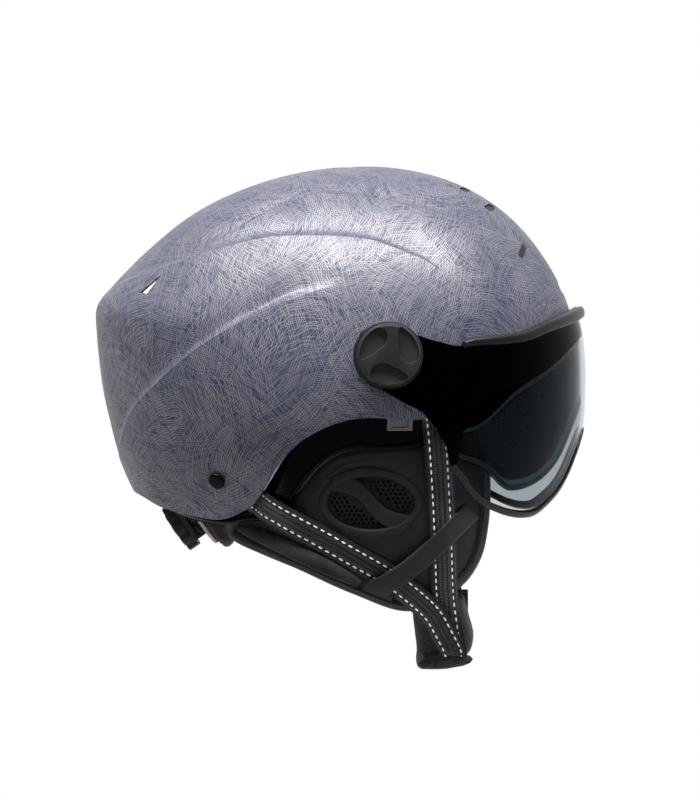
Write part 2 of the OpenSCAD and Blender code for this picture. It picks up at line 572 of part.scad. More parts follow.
// Buckle at the end of the left straps, in a frame whose Z axis runs up along them
BUCKLE_LEAN = -6;
buckle_at = [57.5, skirt(57.5, -66) + 9.4, -66];
tongue_end = buckle_at + 24 * [0, -sin(BUCKLE_LEAN), -cos(BUCKLE_LEAN)];
module at_buckle() { translate(buckle_at) rotate([-BUCKLE_LEAN, 0, 0]) children(); }

// Chin strap: swings about the fold at the bottom of the right straps
fold_at = [61.5, -skirt(61.5, -88) - 14.6, -91.8];
chin_line = route([fold_at + [0, 0.6, -0.5], [60.5, -47, -95.2], [58.5, -36, -97.2],
    [56.5, -22, -98.6], [54.5, -6, -99.6], [54, 10, -99.8], [54.8, 30, -99.4], [56, 50, -97.6],
    [57, 66, -93.8], tongue_end + [0, 0, -0.9]], 2);
pad_line = route([[52, -60.5, -60.4], [54, -56, -71.1], [55.5, -52.8, -80], [56, -45.6, -89.6],
    [55.5, -32, -95.8], [54.5, -10, -98.7], [54, 12, -99], [55, 32, -98.5]], 2);
// Section swept along a line; up points from the line toward the wearer
module sweep(line, section) {
    n = len(line);
    skin([for (i = [0:n - 1])
        let(t = unit(line[min(i + 1, n - 1)] - line[max(i - 1, 0)]),
            up = unit(cross([1, 0, 0], t)), s = section(i / (n - 1)))
        [for (q = s) line[i] + [q[0], 0, 0] + q[1] * up]]);
}
module chin_webbing(grow) {
    sweep(chin_line, function(u) [for (q = [[-1, -1], [1, -1], [1, 1], [-1, 1]])
        [q[0] * (web_w / 2 + grow), q[1] * (web_t / 2 + grow)]]);
}
module chin_strap() color([0.06, 0.06, 0.07]) {
    chin_webbing(0);
    translate(fold_at) rotate([0, 90, 0]) cylinder(h = web_w, r = 1.2, center = true, $fn = 24);
}
module chin_pad() color([0.12, 0.11, 0.12]) {
    // Half of the channel's section, across and up, outside then inside
    half = [[0, -3.4], [0.6, -3], [0.92, -0.5], [1, 5], [0.97, 10], [0.8, 11], [0.72, 9],
        [0.66, 3.4], [0.5, 1.9], [0, 1.8]];
    full = concat(half, [for (k = [8:-1:1]) [-half[k][0], half[k][1]]]);
    difference() {
        sweep(pad_line, function(u) let(s = 0.88 + 0.12 * sin(180 * u))
            [for (q = full) [s * q[0] * chin_pad_w / 2, q[1]]]);
        chin_webbing(0.4);
    }
}
module buckle_receiver() color([0.05, 0.05, 0.05]) {
    at_buckle() difference() {
        translate([-11, -5.2, -19]) cube([22, 10.4, 23]);
        // Mouth for the webbing at the top, for the tongue at the bottom, and the button's window
        translate([-12, -3.8, -3]) cube([24, 7.6, 8]);
        translate([-6.5 - tongue_play, -tongue_t / 2 - tongue_play, -20])
            cube([13 + 2 * tongue_play, tongue_t + 2 * tongue_play, 15]);
        translate([-4, 0, -14]) cube([8, 6, 8]);
    }
}
module release_button() color([0.6, 0.05, 0.05]) {
    at_buckle() translate([-3.8, tongue_t / 2 + tongue_play + button_travel - 0.1, -13.8])
        cube([7.6, 3, 7.6]);
}
module buckle_tongue() color([0.05, 0.05, 0.05]) {
    at_buckle() {
        translate([-6.5, -tongue_t / 2, -21]) cube([13, tongue_t, 14.5]);
        translate([-8.5, -tongue_t / 2 - 0.6, -24]) cube([17, tongue_t + 1.2, 4.4]);
    }
}

// Size adjuster at the nape, in a frame whose Z axis runs out of the dial
DIAL_LEAN = 35;
dial_at = [-(shell_rear - 48), 0, dial_z];
module at_nape() { translate(dial_at) rotate([0, 270 - DIAL_LEAN, 0]) children(); }
function nape_point(p) = dial_at + p[0] * [-sin(DIAL_LEAN), 0, cos(DIAL_LEAN)] + [0, p[1], 0]
    + p[2] * [-cos(DIAL_LEAN), 0, -sin(DIAL_LEAN)];
pitch_r = pinion_teeth * tooth_half;
module_size = 2 * tooth_half;
rack_z = -6;
rack_h = 2.4;
module fit_dial() color([0.05, 0.05, 0.05]) {
    at_nape() difference() {
        translate([0, 0, 0.3]) cylinder(h = dial_h, r = dial_r, $fn = 96);
        for (k = [0:9]) rotate(36 * k) translate([dial_r + 1.4, 0, -1])
            cylinder(h = 12, r = 3, $fn = 32);
        translate([0, 0, -1]) cylinder(h = dial_h - 1, r = 2.5, $fn = 32);
    }
}
module pinion_shape() {
    // One tooth: root, flank and tip half angles follow from the module, with slack
    polygon([for (k = [0:pinion_teeth - 1], q = [[-1, 0.36, -1.25], [-1, 0.2, 0], [-1, 0.09, 0.85],
        [1, 0.09, 0.85], [1, 0.2, 0], [1, 0.36, -1.25]])
        let(a = (k + q[0] * q[1]) * 360 / pinion_teeth, r = pitch_r + q[2] * module_size)
        [r * cos(a), r * sin(a)]]);
}
module dial_pinion() color([0.8, 0.8, 0.75]) {
    at_nape() {
        translate([0, 0, rack_z - 0.4]) linear_extrude(rack_h + 0.8) pinion_shape();
        translate([0, 0, rack_z + rack_h]) cylinder(h = -rack_z - rack_h + dial_h - 2, r = 2.4, $fn = 32);
    }
}
// Bands: side is 1 for the right band with the upper rack and -1 for the left, lower one
RACK_END = 27;
module rack(side) {
    pitch = PI * module_size;
    at_nape() translate([0, 0, rack_z]) linear_extrude(rack_h) polygon(side * concat(
        [for (k = [-5:4], q = [[-0.32, 1.2], [-0.2, 0], [-0.07, -0.85], [0.07, -0.85],
            [0.2, 0], [0.32, 1.2]])
            [pitch_r + q[1] * module_size, -pitch * (k + 0.5 + q[0])]],
        [[pitch_r + 1.2, -RACK_END], [pitch_r + 4.4, -RACK_END], [pitch_r + 4.4, 4.9 * pitch]]));
}
module side_band(side) color([0.1, 0.1, 0.1]) {
    rack(side);
    start = nape_point([side * (pitch_r + 2.8), -side * (RACK_END - 0.5), rack_z + rack_h / 2]);
    far = side > 0 ? [[-86, -36.5, -8.5], [-75, -45, -7], [-62, -51, -2.5], [-49, -54.5, 3.5]]
        : [[-84, 36.5, -19], [-75, 45, -14.5], [-62, 51, -4.5], [-49, 54.5, 3.5]];
    path = route(concat([start], far), 4);
    n = len(path);
    skin([for (i = [0:n - 1])
        let(t = i == 0 ? [0, -side, 0] : unit(path[min(i + 1, n - 1)] - path[i - 1]),
            up = unit([-sin(DIAL_LEAN) * (1 - i / n), 0, cos(DIAL_LEAN)]), v = unit(cross(t, up)))
        [for (q = [[-1, -1], [1, -1], [1, 1], [-1, 1]])
            path[i] + q[0] * 1.6 * up + q[1] * rack_h / 2 * v]]);
}
housing_x = pitch_r + 4.4 + 0.4;
HOUSING_END = 15;
module dial_housing() color([0.08, 0.08, 0.08]) {
    at_nape() difference() {
        translate([-housing_x - 2, -HOUSING_END, rack_z - 2.4])
            cube([2 * housing_x + 4, 2 * HOUSING_END, -rack_z + 2.4]);
        translate([-housing_x, -HOUSING_END - 1, rack_z - 0.5])
            cube([2 * housing_x, 2 * HOUSING_END + 2, rack_h + 1]);
        translate([0, 0, rack_z - 1]) cylinder(h = 10, r = 2.5, $fn = 32);
    }
}
module rounded(w, h, r, thick) {
    linear_extrude(thick) polygon([for (c = [[1, 1], [-1, 1], [-1, -1], [1, -1]], k = [0:5])
        let(a = (c[0] > 0 ? (c[1] > 0 ? 0 : 270) : (c[1] > 0 ? 90 : 180)) + 18 * k)
        [c[0] * (w / 2 - r) + r * cos(a), c[1] * (h / 2 - r) + r * sin(a)]]);
}
cradle_z = rack_z - 2.4 - 2.2;
// Straps of the cradle: they run up in its plane and end in pockets of the foam
module hangers(grow) {
    for (y = [-15, 15]) at_nape() translate([6, y - 5 - grow, cradle_z - grow])
        cube([38 + grow, 10 + 2 * grow, 2.2 + 2 * grow]);
}
module nape_cradle() color([0.75, 0.76, 0.74]) {
    at_nape() translate([-3, 0, cradle_z]) rounded(34, 43, 10, 2.2);
    hangers(0);
}
module nape_pad() color([0.12, 0.11, 0.12]) {
    outline = closed_route([[13, 0], [9, 20], [-10, 23.5], [-24, 18], [-26, 0], [-24, -18],
        [-10, -23.5], [9, -20]], 2);
    ring = function(s, z) [for (p = outline) nape_point([-4 + s * (p[0] + 4), s * p[1], z])];
    skin([ring(0.3, cradle_z - 0.4), ring(0.95, cradle_z - 0.4), ring(1, cradle_z - 3),
        ring(0.96, cradle_z - 6), ring(0.8, cradle_z - 8.5), ring(0.3, cradle_z - 9.5)]);
}

// Visor: lens bands between an upper and a lower edge
module band(phi0, phi1, cols, rows, top, low, outer, inner) {
    skin([for (i = [0:cols])
        let(phi = phi0 + (phi1 - phi0) * i / cols, q = abs(phi), a = low(q), b = top(q))
        concat([for (k = [0:rows]) let(e = a + (b - a) * k / rows) polar(phi, e, visor_r(phi, e) - outer)],
            [for (k = [0:rows]) let(e = b + (a - b) * k / rows)
                polar(phi, e, visor_r(phi, e) - inner)])]);
}
inner_top = function(q) min(curve(RIM, q) - 3, curve(VISOR_TOP, q) - 3);
INNER_END = 58;
VISOR_END = 81;
VISOR_COLS = 48;
module visor() color([0.04, 0.06, 0.09, 0.85]) {
    difference() {
        band(-VISOR_END, VISOR_END, VISOR_COLS, 8, function(q) curve(VISOR_TOP, q),
            function(q) curve(VISOR_LOW, q), 0, lens_wall);
        both() at_pivot(hub_y - 20) cylinder(h = 60, r = hub_r, $fn = 96);
    }
}
module inner_lens() color([0.02, 0.03, 0.05]) {
    depth = lens_wall + lens_air;
    band(-INNER_END, INNER_END, 32, 5, inner_top, function(q) curve(INNER_LOW, q),
        depth, depth + inner_wall);
}
// Strip along a line on the lenses; section points are [depth, share of the half width]
module lens_strip(line, loop, half_w, section) {
    n = len(line);
    skin([for (i = [0:n - 1])
        let(p = line[i], a = line[loop ? (i + n - 1) % n : max(i - 1, 0)],
            b = line[loop ? (i + 1) % n : min(i + 1, n - 1)],
            t = unit([(b[0] - a[0]) * cos(p[1]), b[1] - a[1]]))
        [for (q = section) let(g = q[1] * half_w(p[0]) / 2.35,
                phi = p[0] - g * t[1] / cos(p[1]), e = p[1] + g * t[0])
            polar(phi, e, visor_r(phi, e) - q[0])]], loop);
}
module lens_gasket() color([0.02, 0.02, 0.02]) {
    half = concat([for (q = [0:4:56]) [q, inner_top(q) - 1.2]],
        [for (q = [56.5, 53, 49, 45, 41, 38, 34, 31, 28, 25, 22, 19.5, 17.7, 16, 14.5, 11, 7, 3.5, 0])
            [q, curve(INNER_LOW, q) + 1.2]]);
    line = concat(half, [for (k = [len(half) - 2:-1:1]) [-half[k][0], half[k][1]]]);
    top = lens_wall + 0.35;
    low = lens_wall + lens_air - 0.2;
    lens_strip(line, true, function(q) 1.4, [[top, 1], [low, 1], [low, -1], [top, -1]]);
}
module visor_seal() color([0.1, 0.1, 0.1]) {
    // Section across the strip: outward, then up from the visor's edge, in millimetres
    section = [[-2.6, 0.2], [-3.2, 1.8], [-0.5, 3.6], [3.2, 2.8], [4.4, 0.6], [3.6, -3], [0.3, -3.6],
        [0.3, 0.2]];
    skin([for (i = [0:24]) let(phi = -53 + 106 * i / 24, e = curve(VISOR_TOP, abs(phi)),
            s = 1 - 0.4 * pow(abs(phi) / 53, 4))
        [for (q = section) let(a = e + s * q[1] * 0.42) polar(phi, a, visor_r(phi, e) + s * q[0])]]);
}
module visor_edge_trim() color([0.25, 0.25, 0.26]) {
    // The same columns as the lens, so that its edge lies in the trim's groove all along
    line = [for (i = [7:41]) let(phi = -VISOR_END + 2 * VISOR_END * i / VISOR_COLS)
        [phi, curve(VISOR_LOW, abs(phi))]];
    out = -0.85;
    in = lens_wall + 0.85;
    lens_strip(line, false, function(q) 2.2 - abs(q) / 60, [[out, 1], [-0.3, 1], [-0.3, -0.45],
        [lens_wall + 0.3, -0.45], [lens_wall + 0.3, 1], [in, 1], [in, -1], [out, -1]]);
}
module visor_hubs() color([0.04, 0.04, 0.04]) {
    both() at_pivot(hub_y) difference() {
        cylinder(h = hub_thick, r = hub_r, $fn = 96);
        translate([0, 0, -1]) cylinder(h = 20, r = bush_r + bush_play, $fn = 64);
    }
}
// Knob with three swirled finger recesses, each a round end near the middle that is drawn out
// to a point along the rim
module swirl() {
    far = function(a, r) [r * cos(a), r * sin(a)];
    linear_extrude(20) polygon(closed_route(concat([for (a = [4:17.5:74]) far(a, knob_r - 1.4)],
        [far(70, 10.8), far(54, 7.4), far(28, 5.6), far(4, 5.8), far(-11, 7.2), far(-18, 10),
        far(-15.5, 13), far(-7, 15.4)]), 3));
}
module knob() {
    difference() {
        union() {
            cylinder(h = knob_h - 2.5, r = knob_r, $fn = 96);
            translate([0, 0, knob_h - 2.5]) cylinder(h = 2.5, r1 = knob_r, r2 = knob_r - 1.8, $fn = 96);
        }
        for (k = [0:2]) rotate(120 * k - 5) translate([0, 0, knob_h - recess_depth]) swirl();
        translate([0, 0, -1]) cylinder(h = 4.2, r = 4.6, $fn = 6);
        translate([0, 0, -1]) cylinder(h = 6, r = screw_r + 0.02, $fn = 48);
    }
}
module knob_right() color([0.14, 0.14, 0.14]) { lean() knob(); }
module pivot_screw_right() color([0.6, 0.6, 0.62]) {
    screw_axis(screw_r, -(knob_y - boss_y) - 4, 4.8);
    lean() cylinder(h = 3, r = 4.4, $fn = 6);
}

outer_shell();
foam_liner();
lower_trim();
vent_grilles();
strap_rivets();
pivot_bushes();
pivot_washers();
pivot_inserts();
brow_pad();
crown_pad();
side_pads();
ear_cover_right();
left() ear_cover_right();  // ear_cover_left
ear_mesh_right();
left() ear_mesh_right();  // ear_mesh_left
ear_pad_right();
left() ear_pad_right();  // ear_pad_left
ear_binding_right();
left() ear_binding_right();  // ear_binding_left
ear_pad_clips();
neck_roll_right();
left() neck_roll_right();  // neck_roll_left
nape_band();
strap_front_right();
strap_front_left();
strap_rear(concat(REAR_TOP, REAR_END));  // strap_rear_right
left() strap_rear(concat(REAR_TOP, REAR_END_LEFT));  // strap_rear_left
keeper_right();
left() keeper_right();  // keeper_left
strap_anchors();
buckle_receiver();
dial_housing();
nape_cradle();
nape_pad();
visor();
inner_lens();
lens_gasket();
visor_seal();
visor_edge_trim();
visor_hubs();
knob_right();
left() knob_right();  // knob_left
pivot_screw_right();
left() pivot_screw_right();  // pivot_screw_left
fit_dial();
dial_pinion();
side_band(1);  // band_right
side_band(-1);  // band_left
chin_strap();
chin_pad();
buckle_tongue();
release_button();
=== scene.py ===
"""Looks of an open-face helmet with a lift-up visor, ear pads and a padded chin strap.

Each section is one piece, or a group of like pieces, in the order in which the helmet is put
together. Angles are in degrees and lengths in millimetres, which new_mesh and solid turn to
metres; the studio's own are in metres. Right is -Y; a left piece mirrors the right one.
"""

import bmesh
import bpy
import numpy as np
from mathutils import Matrix, Vector


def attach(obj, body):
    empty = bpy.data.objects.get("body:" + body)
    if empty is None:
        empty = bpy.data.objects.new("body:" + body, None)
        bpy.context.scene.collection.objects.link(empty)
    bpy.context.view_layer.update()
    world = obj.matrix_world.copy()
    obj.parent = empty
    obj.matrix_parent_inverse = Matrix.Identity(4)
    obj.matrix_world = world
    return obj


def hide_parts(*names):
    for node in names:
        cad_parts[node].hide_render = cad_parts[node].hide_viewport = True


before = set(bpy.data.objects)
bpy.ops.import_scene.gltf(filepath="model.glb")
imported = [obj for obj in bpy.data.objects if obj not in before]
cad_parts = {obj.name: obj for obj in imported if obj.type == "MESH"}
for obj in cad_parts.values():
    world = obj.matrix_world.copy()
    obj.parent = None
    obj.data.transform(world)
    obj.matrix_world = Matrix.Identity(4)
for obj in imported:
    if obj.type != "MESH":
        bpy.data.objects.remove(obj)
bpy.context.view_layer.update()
scene = bpy.context.scene

# Studio
# The camera stands almost level with the helmet's right side. One long lamp hangs above it, and
# four weak ones fill the shade. The floor and the backdrop are white.
VIEW_TURN, VIEW_LIFT, VIEW_AWAY, LENS_LENGTH, SENSOR_WIDTH = 2.5, 1.3, 1.8, 138.9, 36
AIM = Vector((0, 0, 0.055))
FLOOR_Z, FLOOR_HALF, FLOOR_GREY = -0.24, 9, 0.45
# Near the helmet the floor keeps some of its shadow; further out it is as white as the backdrop
SHADE_FROM, SHADE_TO, WHITE_NEAR = 0.17, 0.4, 0.86
ROOM_WHITE, ROOM_LIGHT = 0.15, 0.06
LAMPS = [  # place, aim, length and width in metres, power in watts, seen in glosses
    ("key_lamp", (-0.06, -0.62, 1.85), (-0.03, 0, 0.1), (2.4, 0.4), 158, True),
    ("front_lamp", (1.9, -0.9, 0.6), (0.05, 0, 0.05), (0.5, 0.9), 4, False),
    ("back_lamp", (-1.9, -0.3, 0.9), (0, 0, 0.05), (0.5, 0.9), 2, False),
    ("far_lamp", (0.3, 1.9, 1.0), (0, 0, 0.05), (1.2, 1.2), 6, False),
    ("edge_lamp", (-0.3, -1.85, 0.85), (0, -0.1, 0.02), (1.3, 0.09), 3, True),
]
KEY_WARMTH = (1.0, 0.955, 0.925)


def add(tree, kind, inputs=(), **settings):
    """A node with its settings; an input is given a value or the socket that feeds it."""
    made = tree.nodes.new(kind)
    for key, value in settings.items():
        setattr(made, key, value)
    for key, value in dict(inputs).items():
        if isinstance(value, bpy.types.NodeSocket):
            tree.links.new(value, made.inputs[key])
        else:
            made.inputs[key].default_value = value
    return made


def maths(tree, operation, *values):
    return add(tree, "ShaderNodeMath", dict(enumerate(values)), operation=operation).outputs[0]


def vmath(tree, operation, *values):
    made = add(tree, "ShaderNodeVectorMath", dict(enumerate(values)), operation=operation)
    return made.outputs["Value" if operation in ("LENGTH", "DOT_PRODUCT") else "Vector"]


def remap(tree, value, start, end, low=0.0, high=1.0, **settings):
    """The value between start and end, turned to one between low and high."""
    return add(tree, "ShaderNodeMapRange", {0: value, 1: start, 2: end, 3: low, 4: high},
               **settings).outputs[0]


def empty_tree(owner):
    """The cleared node tree of a world or a material."""
    owner.use_nodes = True
    owner.node_tree.nodes.clear()
    return owner.node_tree


def linked(name, data):
    """New object in the scene."""
    made = bpy.data.objects.new(name, data)
    scene.collection.objects.link(made)
    return made


def stand(item, at, facing):
    """Stands the camera or a lamp at a place, facing along a direction."""
    item.location = at
    item.rotation_mode = "QUATERNION"
    item.rotation_quaternion = facing.to_track_quat("-Z", "Y")


def backdrop(tree, coordinate, near, far):
    """How bright a ray sees the backdrop, and whether it comes straight or from a gloss.

    Glosses show the white paper behind the helmet and the dim room behind the camera.
    """
    path = add(tree, "ShaderNodeLightPath").outputs
    spot = add(tree, "ShaderNodeTexCoord").outputs[coordinate]
    depth = add(tree, "ShaderNodeSeparateXYZ", {0: spot}).outputs[1]
    gloss = path["Is Glossy Ray"]
    straight = maths(tree, "MAXIMUM", path["Is Camera Ray"], path["Is Transmission Ray"])
    room = maths(tree, "MULTIPLY", gloss, remap(tree, depth, near, far, ROOM_WHITE, 1.0))
    return maths(tree, "MAXIMUM", room, straight), straight, gloss


turn, lift = np.radians([VIEW_TURN, VIEW_LIFT])
back = Vector((np.sin(turn) * np.cos(lift), -np.cos(turn) * np.cos(lift), np.sin(lift)))
camera = linked("camera", bpy.data.cameras.new("camera"))
stand(camera, AIM + back * VIEW_AWAY, -back)
camera.data.lens, camera.data.sensor_width = LENS_LENGTH, SENSOR_WIDTH
scene.camera = camera
scene.view_settings.view_transform = "Standard"

for name, at, aim, (length, width), power, shining in LAMPS:
    lamp = linked(name, bpy.data.lights.new(name, "AREA"))
    lamp.data.shape, lamp.data.energy = "RECTANGLE", power
    lamp.data.size, lamp.data.size_y = length, width
    lamp.data.color = KEY_WARMTH if name == "key_lamp" else (1, 1, 1)
    lamp.visible_glossy = shining
    stand(lamp, at, Vector(aim) - Vector(at))

world = bpy.data.worlds.new("studio")
scene.world = world
tree = empty_tree(world)
bright = maths(tree, "MAXIMUM", backdrop(tree, "Generated", -0.35, 0.35)[0], ROOM_LIGHT)
sky = add(tree, "ShaderNodeBackground", {"Color": (1, 1, 1, 1), "Strength": bright})
add(tree, "ShaderNodeOutputWorld", {"Surface": sky.outputs[0]})

plane = bpy.data.meshes.new("floor")
plane.from_pydata([(FLOOR_HALF * x, FLOOR_HALF * y, FLOOR_Z)
                   for x, y in [(-1, -1), (1, -1), (1, 1), (-1, 1)]], [], [(0, 1, 2, 3)])
floor = linked("floor", plane)
paper = bpy.data.materials.new("floor_paper")
tree = empty_tree(paper)
matt = add(tree, "ShaderNodeBsdfDiffuse", {"Color": (FLOOR_GREY, FLOOR_GREY, FLOOR_GREY, 1)})
seen, straight, gloss = backdrop(tree, "Object", -0.6, 0.3)
glow = add(tree, "ShaderNodeEmission", {"Color": (1, 1, 1, 1), "Strength": seen})
away = vmath(tree, "LENGTH", add(tree, "ShaderNodeTexCoord").outputs["Object"])
white = remap(tree, away, SHADE_FROM, SHADE_TO, WHITE_NEAR, 1.0)
share = maths(tree, "MAXIMUM", maths(tree, "MULTIPLY", straight, white), gloss)
mixed = add(tree, "ShaderNodeMixShader", {0: share, 1: matt.outputs[0], 2: glow.outputs[0]})
add(tree, "ShaderNodeOutputMaterial", {"Surface": mixed.outputs[0]})
plane.materials.append(paper)

# Outer shell
# Moulded in one piece, 2.6 mm thick, with three raised edge lines on each side that start as
# crisp creases and fade out. It is printed with fine curved strokes under a satin clear coat.
CENTRE_Z = 60.0
SHELL_FRONT, SHELL_REAR, SHELL_SIDE, SHELL_TOP, SHELL_WALL = 132.0, 144.0, 109.0, 130.5, 2.6
GROOVE_DEPTH, CREASE_WIDE = 2.6, 8.0
SHELL_COLS, SHELL_ROWS, LINING_ROWS, GATHER = 432, (26, 24, 22, 34), 36, 0.82
# Bulge of the shell against elevation, to the front, the back and the side
FRONT = [[-40, -6], [-30, -4], [0, 0], [20, 4], [34, 5], [48, 5.5], [62, 4], [76, 1], [90, -1.5]]
REAR = [[-40, -7], [-24, -5], [-16, -4], [-7, -2.7], [0, 0], [7, 3.4], [13.5, 8], [18.5, 11.6],
        [24, 7.5], [29, 3.5], [38, -2], [46, -5.2], [54, -8.2], [64, -11.4], [77, -13.4],
        [90, -13.5]]
SIDE = [[-40, -6], [-34, -5], [-20, -1.5], [-8, -0.2], [0, 0], [15, 2], [30, 5.5], [45, 10],
        [60, 15], [75, 19.7], [90, 21.5]]
# Elevation of the rim, and of the three edge lines, against the turn from straight ahead
RIM = [[0, 17.9], [15, 15], [30, 9.1], [41.5, 3.8], [50.5, -3.5], [57, -5.8], [63.5, -6.4],
       [70, -7], [78.5, -6.5], [87, -6.9], [95.5, -9.7], [103, -14], [110, -20.5],
       [116.5, -27.7], [123, -33.5], [132, -36.5], [138.5, -36.8], [147, -34], [157.5, -30],
       [166.5, -26], [180, -24]]
CREST_TOP = [[8, 22], [11, 26], [15, 36], [29, 43], [49, 53.5], [83, 63.5], [116, 62.6],
             [132, 50], [142, 41], [160, 30]]
CREST_MID = [[50, 30], [57, 34.5], [62, 38.5], [82, 46.4], [115, 46.5], [137, 39.2],
             [153, 31.2], [172, 23], [180, 21]]
CREST_LOW = [[85, 33], [97, 30.5], [109, 26], [129, 14], [145, 2.4], [154, -3.3],
             [167, -12.4], [180, -18]]
# The mesh's own lines follow the edge lines, and these lead them round the front and back
LEAD_TOP = [[0, 22.5], *CREST_TOP, [180, 34]]
LEAD_MID = [[0, 20.8], [15, 23.5], [30, 26], *CREST_MID]
LEAD_LOW = [[0, 19.3], [15, 18.5], [30, 17.5], [50, 20], [70, 27], *CREST_LOW]
# A vent's turn, elevation, spin, length and width; the last one lies on the middle line
SLOTS = [[-20.3, 37.2, 58, 17, 4.2], [-12, 59.5, 80, 15, 5], [-15, 51.5, 76, 15, 5],
         [0, 26.2, 90, 24, 7]]
PIVOT_X, PIVOT_Z, SEAT_DEPTH, SEAT_BACK, HUB_R = 26.0, 82.0, 1.2, 6.0, 18.9
RIVET_TURN, RIVET_E = -131, -24
REAR_VENT, REAR_VENT_TURN, REAR_VENT_E = [(-3.2, -7), (2.8, -4.4), (0.5, 9.3)], -152.4, 26
REAR_VENT_SPIN = 62
# Length along the surface of one degree of elevation, on the shell and on the visor
SHELL_DEGREE, VISOR_DEGREE = 2.3, 2.35
MIRROR = Matrix.Scale(-1, 4, (0, 1, 0))


def curve(table, x):
    """Smooth curve through a table of rows of two."""
    t = np.array(table, float)
    x = np.clip(np.asarray(x, float), t[0, 0], t[-1, 0])
    i = np.clip(np.searchsorted(t[:, 0], x, side="right") - 1, 0, len(t) - 2)
    low, high = np.maximum(np.arange(len(t)) - 1, 0), np.minimum(np.arange(len(t)) + 1, len(t) - 1)
    slope = (t[high, 1] - t[low, 1]) / (t[high, 0] - t[low, 0])
    h = t[i + 1, 0] - t[i, 0]
    u = (x - t[i, 0]) / h
    v = 1 - u
    return (v * v * (1 + 2 * u) * t[i, 1] + u * u * (3 - 2 * u) * t[i + 1, 1]
            + u * v * v * h * slope[i] - u * u * v * h * slope[i + 1])


def ease(a, b, x):
    """Rises from 0 at a to 1 at b, level at both."""
    u = np.clip((np.asarray(x, float) - a) / (b - a), 0, 1)
    return u * u * (3 - 2 * u)


def cosd(a):
    return np.cos(np.radians(a))


def sind(a):
    return np.sin(np.radians(a))


def unit(v):
    return v / np.linalg.norm(v, axis=-1, keepdims=True)


def turned(phi):
    """The turn from straight ahead, 0 to 180, on either side."""
    return np.abs((np.asarray(phi, float) + 180) % 360 - 180)


def polar(phi, e, r):
    """Places at a turn, an elevation and a distance from the shell's centre."""
    phi, e, r = np.broadcast_arrays(phi, e, r)
    return np.stack([r * cosd(e) * cosd(phi), r * cosd(e) * sind(phi), CENTRE_Z + r * sind(e)], -1)


def reach(base, bulge, e):
    """How far the shell reaches one way at an elevation; at the top all ways agree."""
    end = SHELL_TOP - base - curve(bulge, 90)
    return base + curve(bulge, e) + end * np.maximum(sind(e), 0) ** 4


def oval(phi, along, side):
    return 1 / np.sqrt((cosd(phi) / along) ** 2 + (sind(phi) / side) ** 2)


def plain_r(phi, e):
    """Distance of the shell's face from its centre, without the edge lines."""
    along = np.where(cosd(phi) > 0, reach(SHELL_FRONT, FRONT, e), reach(SHELL_REAR, REAR, e))
    return oval(phi, along, reach(SHELL_SIDE, SIDE, e))


def soft_wall(d):
    return ease(0, 4.5, d)


def crisp_wall(d):
    return np.sin(np.pi / 2 * np.clip(d / CREASE_WIDE, 0, 1))


def crease(line, q, e, back, wall):
    """Share of a groove's depth at a place, below the crisp edge along its line."""
    d = (e - curve(line, q)) * SHELL_DEGREE
    return np.where(d <= 0, 0, wall(d) * np.exp(-np.maximum(d, 0) / back))


def relief(phi, e, wall):
    q = turned(phi)
    return GROOVE_DEPTH * (
        crease(CREST_TOP, q, e, 14, wall) * ease(8, 16, q) * (1 - ease(138, 158, q))
        + crease(CREST_MID, q, e, 20, wall) * ease(50, 66, q) * (1 - ease(170, 179, q))
        + crease(CREST_LOW, q, e, 26, wall) * ease(86, 112, q) * (1 - ease(172, 180, q)))


def shell_r(phi, e, wall=soft_wall):
    """The same with the edge lines: crisp on the face, soft on what lies behind it."""
    return plain_r(phi, e) - relief(phi, e, wall)


def rim_e(phi):
    return curve(RIM, turned(phi))


def on_shell(phi, e, depth=0.0, spin=0.0):
    """Matrix, in millimetres, of a place on the shell: Z points outwards and X down."""
    def at(a, b):
        return polar(a, b, plain_r(a, b))

    n = unit(np.cross(at(phi + 1, e) - at(phi - 1, e), at(phi, e + 1) - at(phi, e - 1)))
    lean, head = np.arccos(n[2]), np.arctan2(n[1], n[0])
    where = polar(phi, e, shell_r(phi, e)) - depth * n
    return (Matrix.Translation(where) @ Matrix.Rotation(head, 4, "Z")
            @ Matrix.Rotation(lean, 4, "Y") @ Matrix.Rotation(np.radians(spin), 4, "Z"))


def at_rear_vent(side):
    """Matrix of the three-cornered vent high at the back, on the right or the left."""
    right = on_shell(REAR_VENT_TURN, REAR_VENT_E, 0, REAR_VENT_SPIN)
    return right if side < 0 else MIRROR @ right


def side_y(x, z):
    """Half width of the plain shell at a place in side view."""
    x, z = np.broadcast_arrays(np.asarray(x, float), np.asarray(z, float))
    y = np.full(x.shape, SHELL_SIDE)
    for _ in range(8):
        e = np.degrees(np.arctan2(z - CENTRE_Z, np.hypot(x, y)))
        along = np.where(x > 0, reach(SHELL_FRONT, FRONT, e), reach(SHELL_REAR, REAR, e))
        y = reach(SHELL_SIDE, SIDE, e) * np.sqrt(np.maximum(cosd(e) ** 2 - (x / along) ** 2, 0))
    return y


def grid_faces(n, m, loop_n=False, loop_m=False):
    """Quads of an n by m grid of points, row after row."""
    i, j = np.meshgrid(np.arange(n - (not loop_n)), np.arange(m - (not loop_m)), indexing="ij")
    i, j = i.ravel(), j.ravel()
    i2, j2 = (i + 1) % n, (j + 1) % m
    return np.stack([i * m + j, i * m + j2, i2 * m + j2, i2 * m + j], 1)


def skin(rings, loop=False):
    """Closed skin over equal rings of points, as points and faces."""
    rings = np.asarray(rings, float)
    n, m = rings.shape[:2]
    points, faces = rings.reshape(-1, 3), [tuple(f) for f in grid_faces(n, m, loop, True)]
    if not loop:
        points = np.vstack([points, rings[0].mean(0), rings[-1].mean(0)])
        for j in range(m):
            k = (j + 1) % m
            faces += [(n * m, k, j), (n * m + 1, (n - 1) * m + j, (n - 1) * m + k)]
    return points, faces


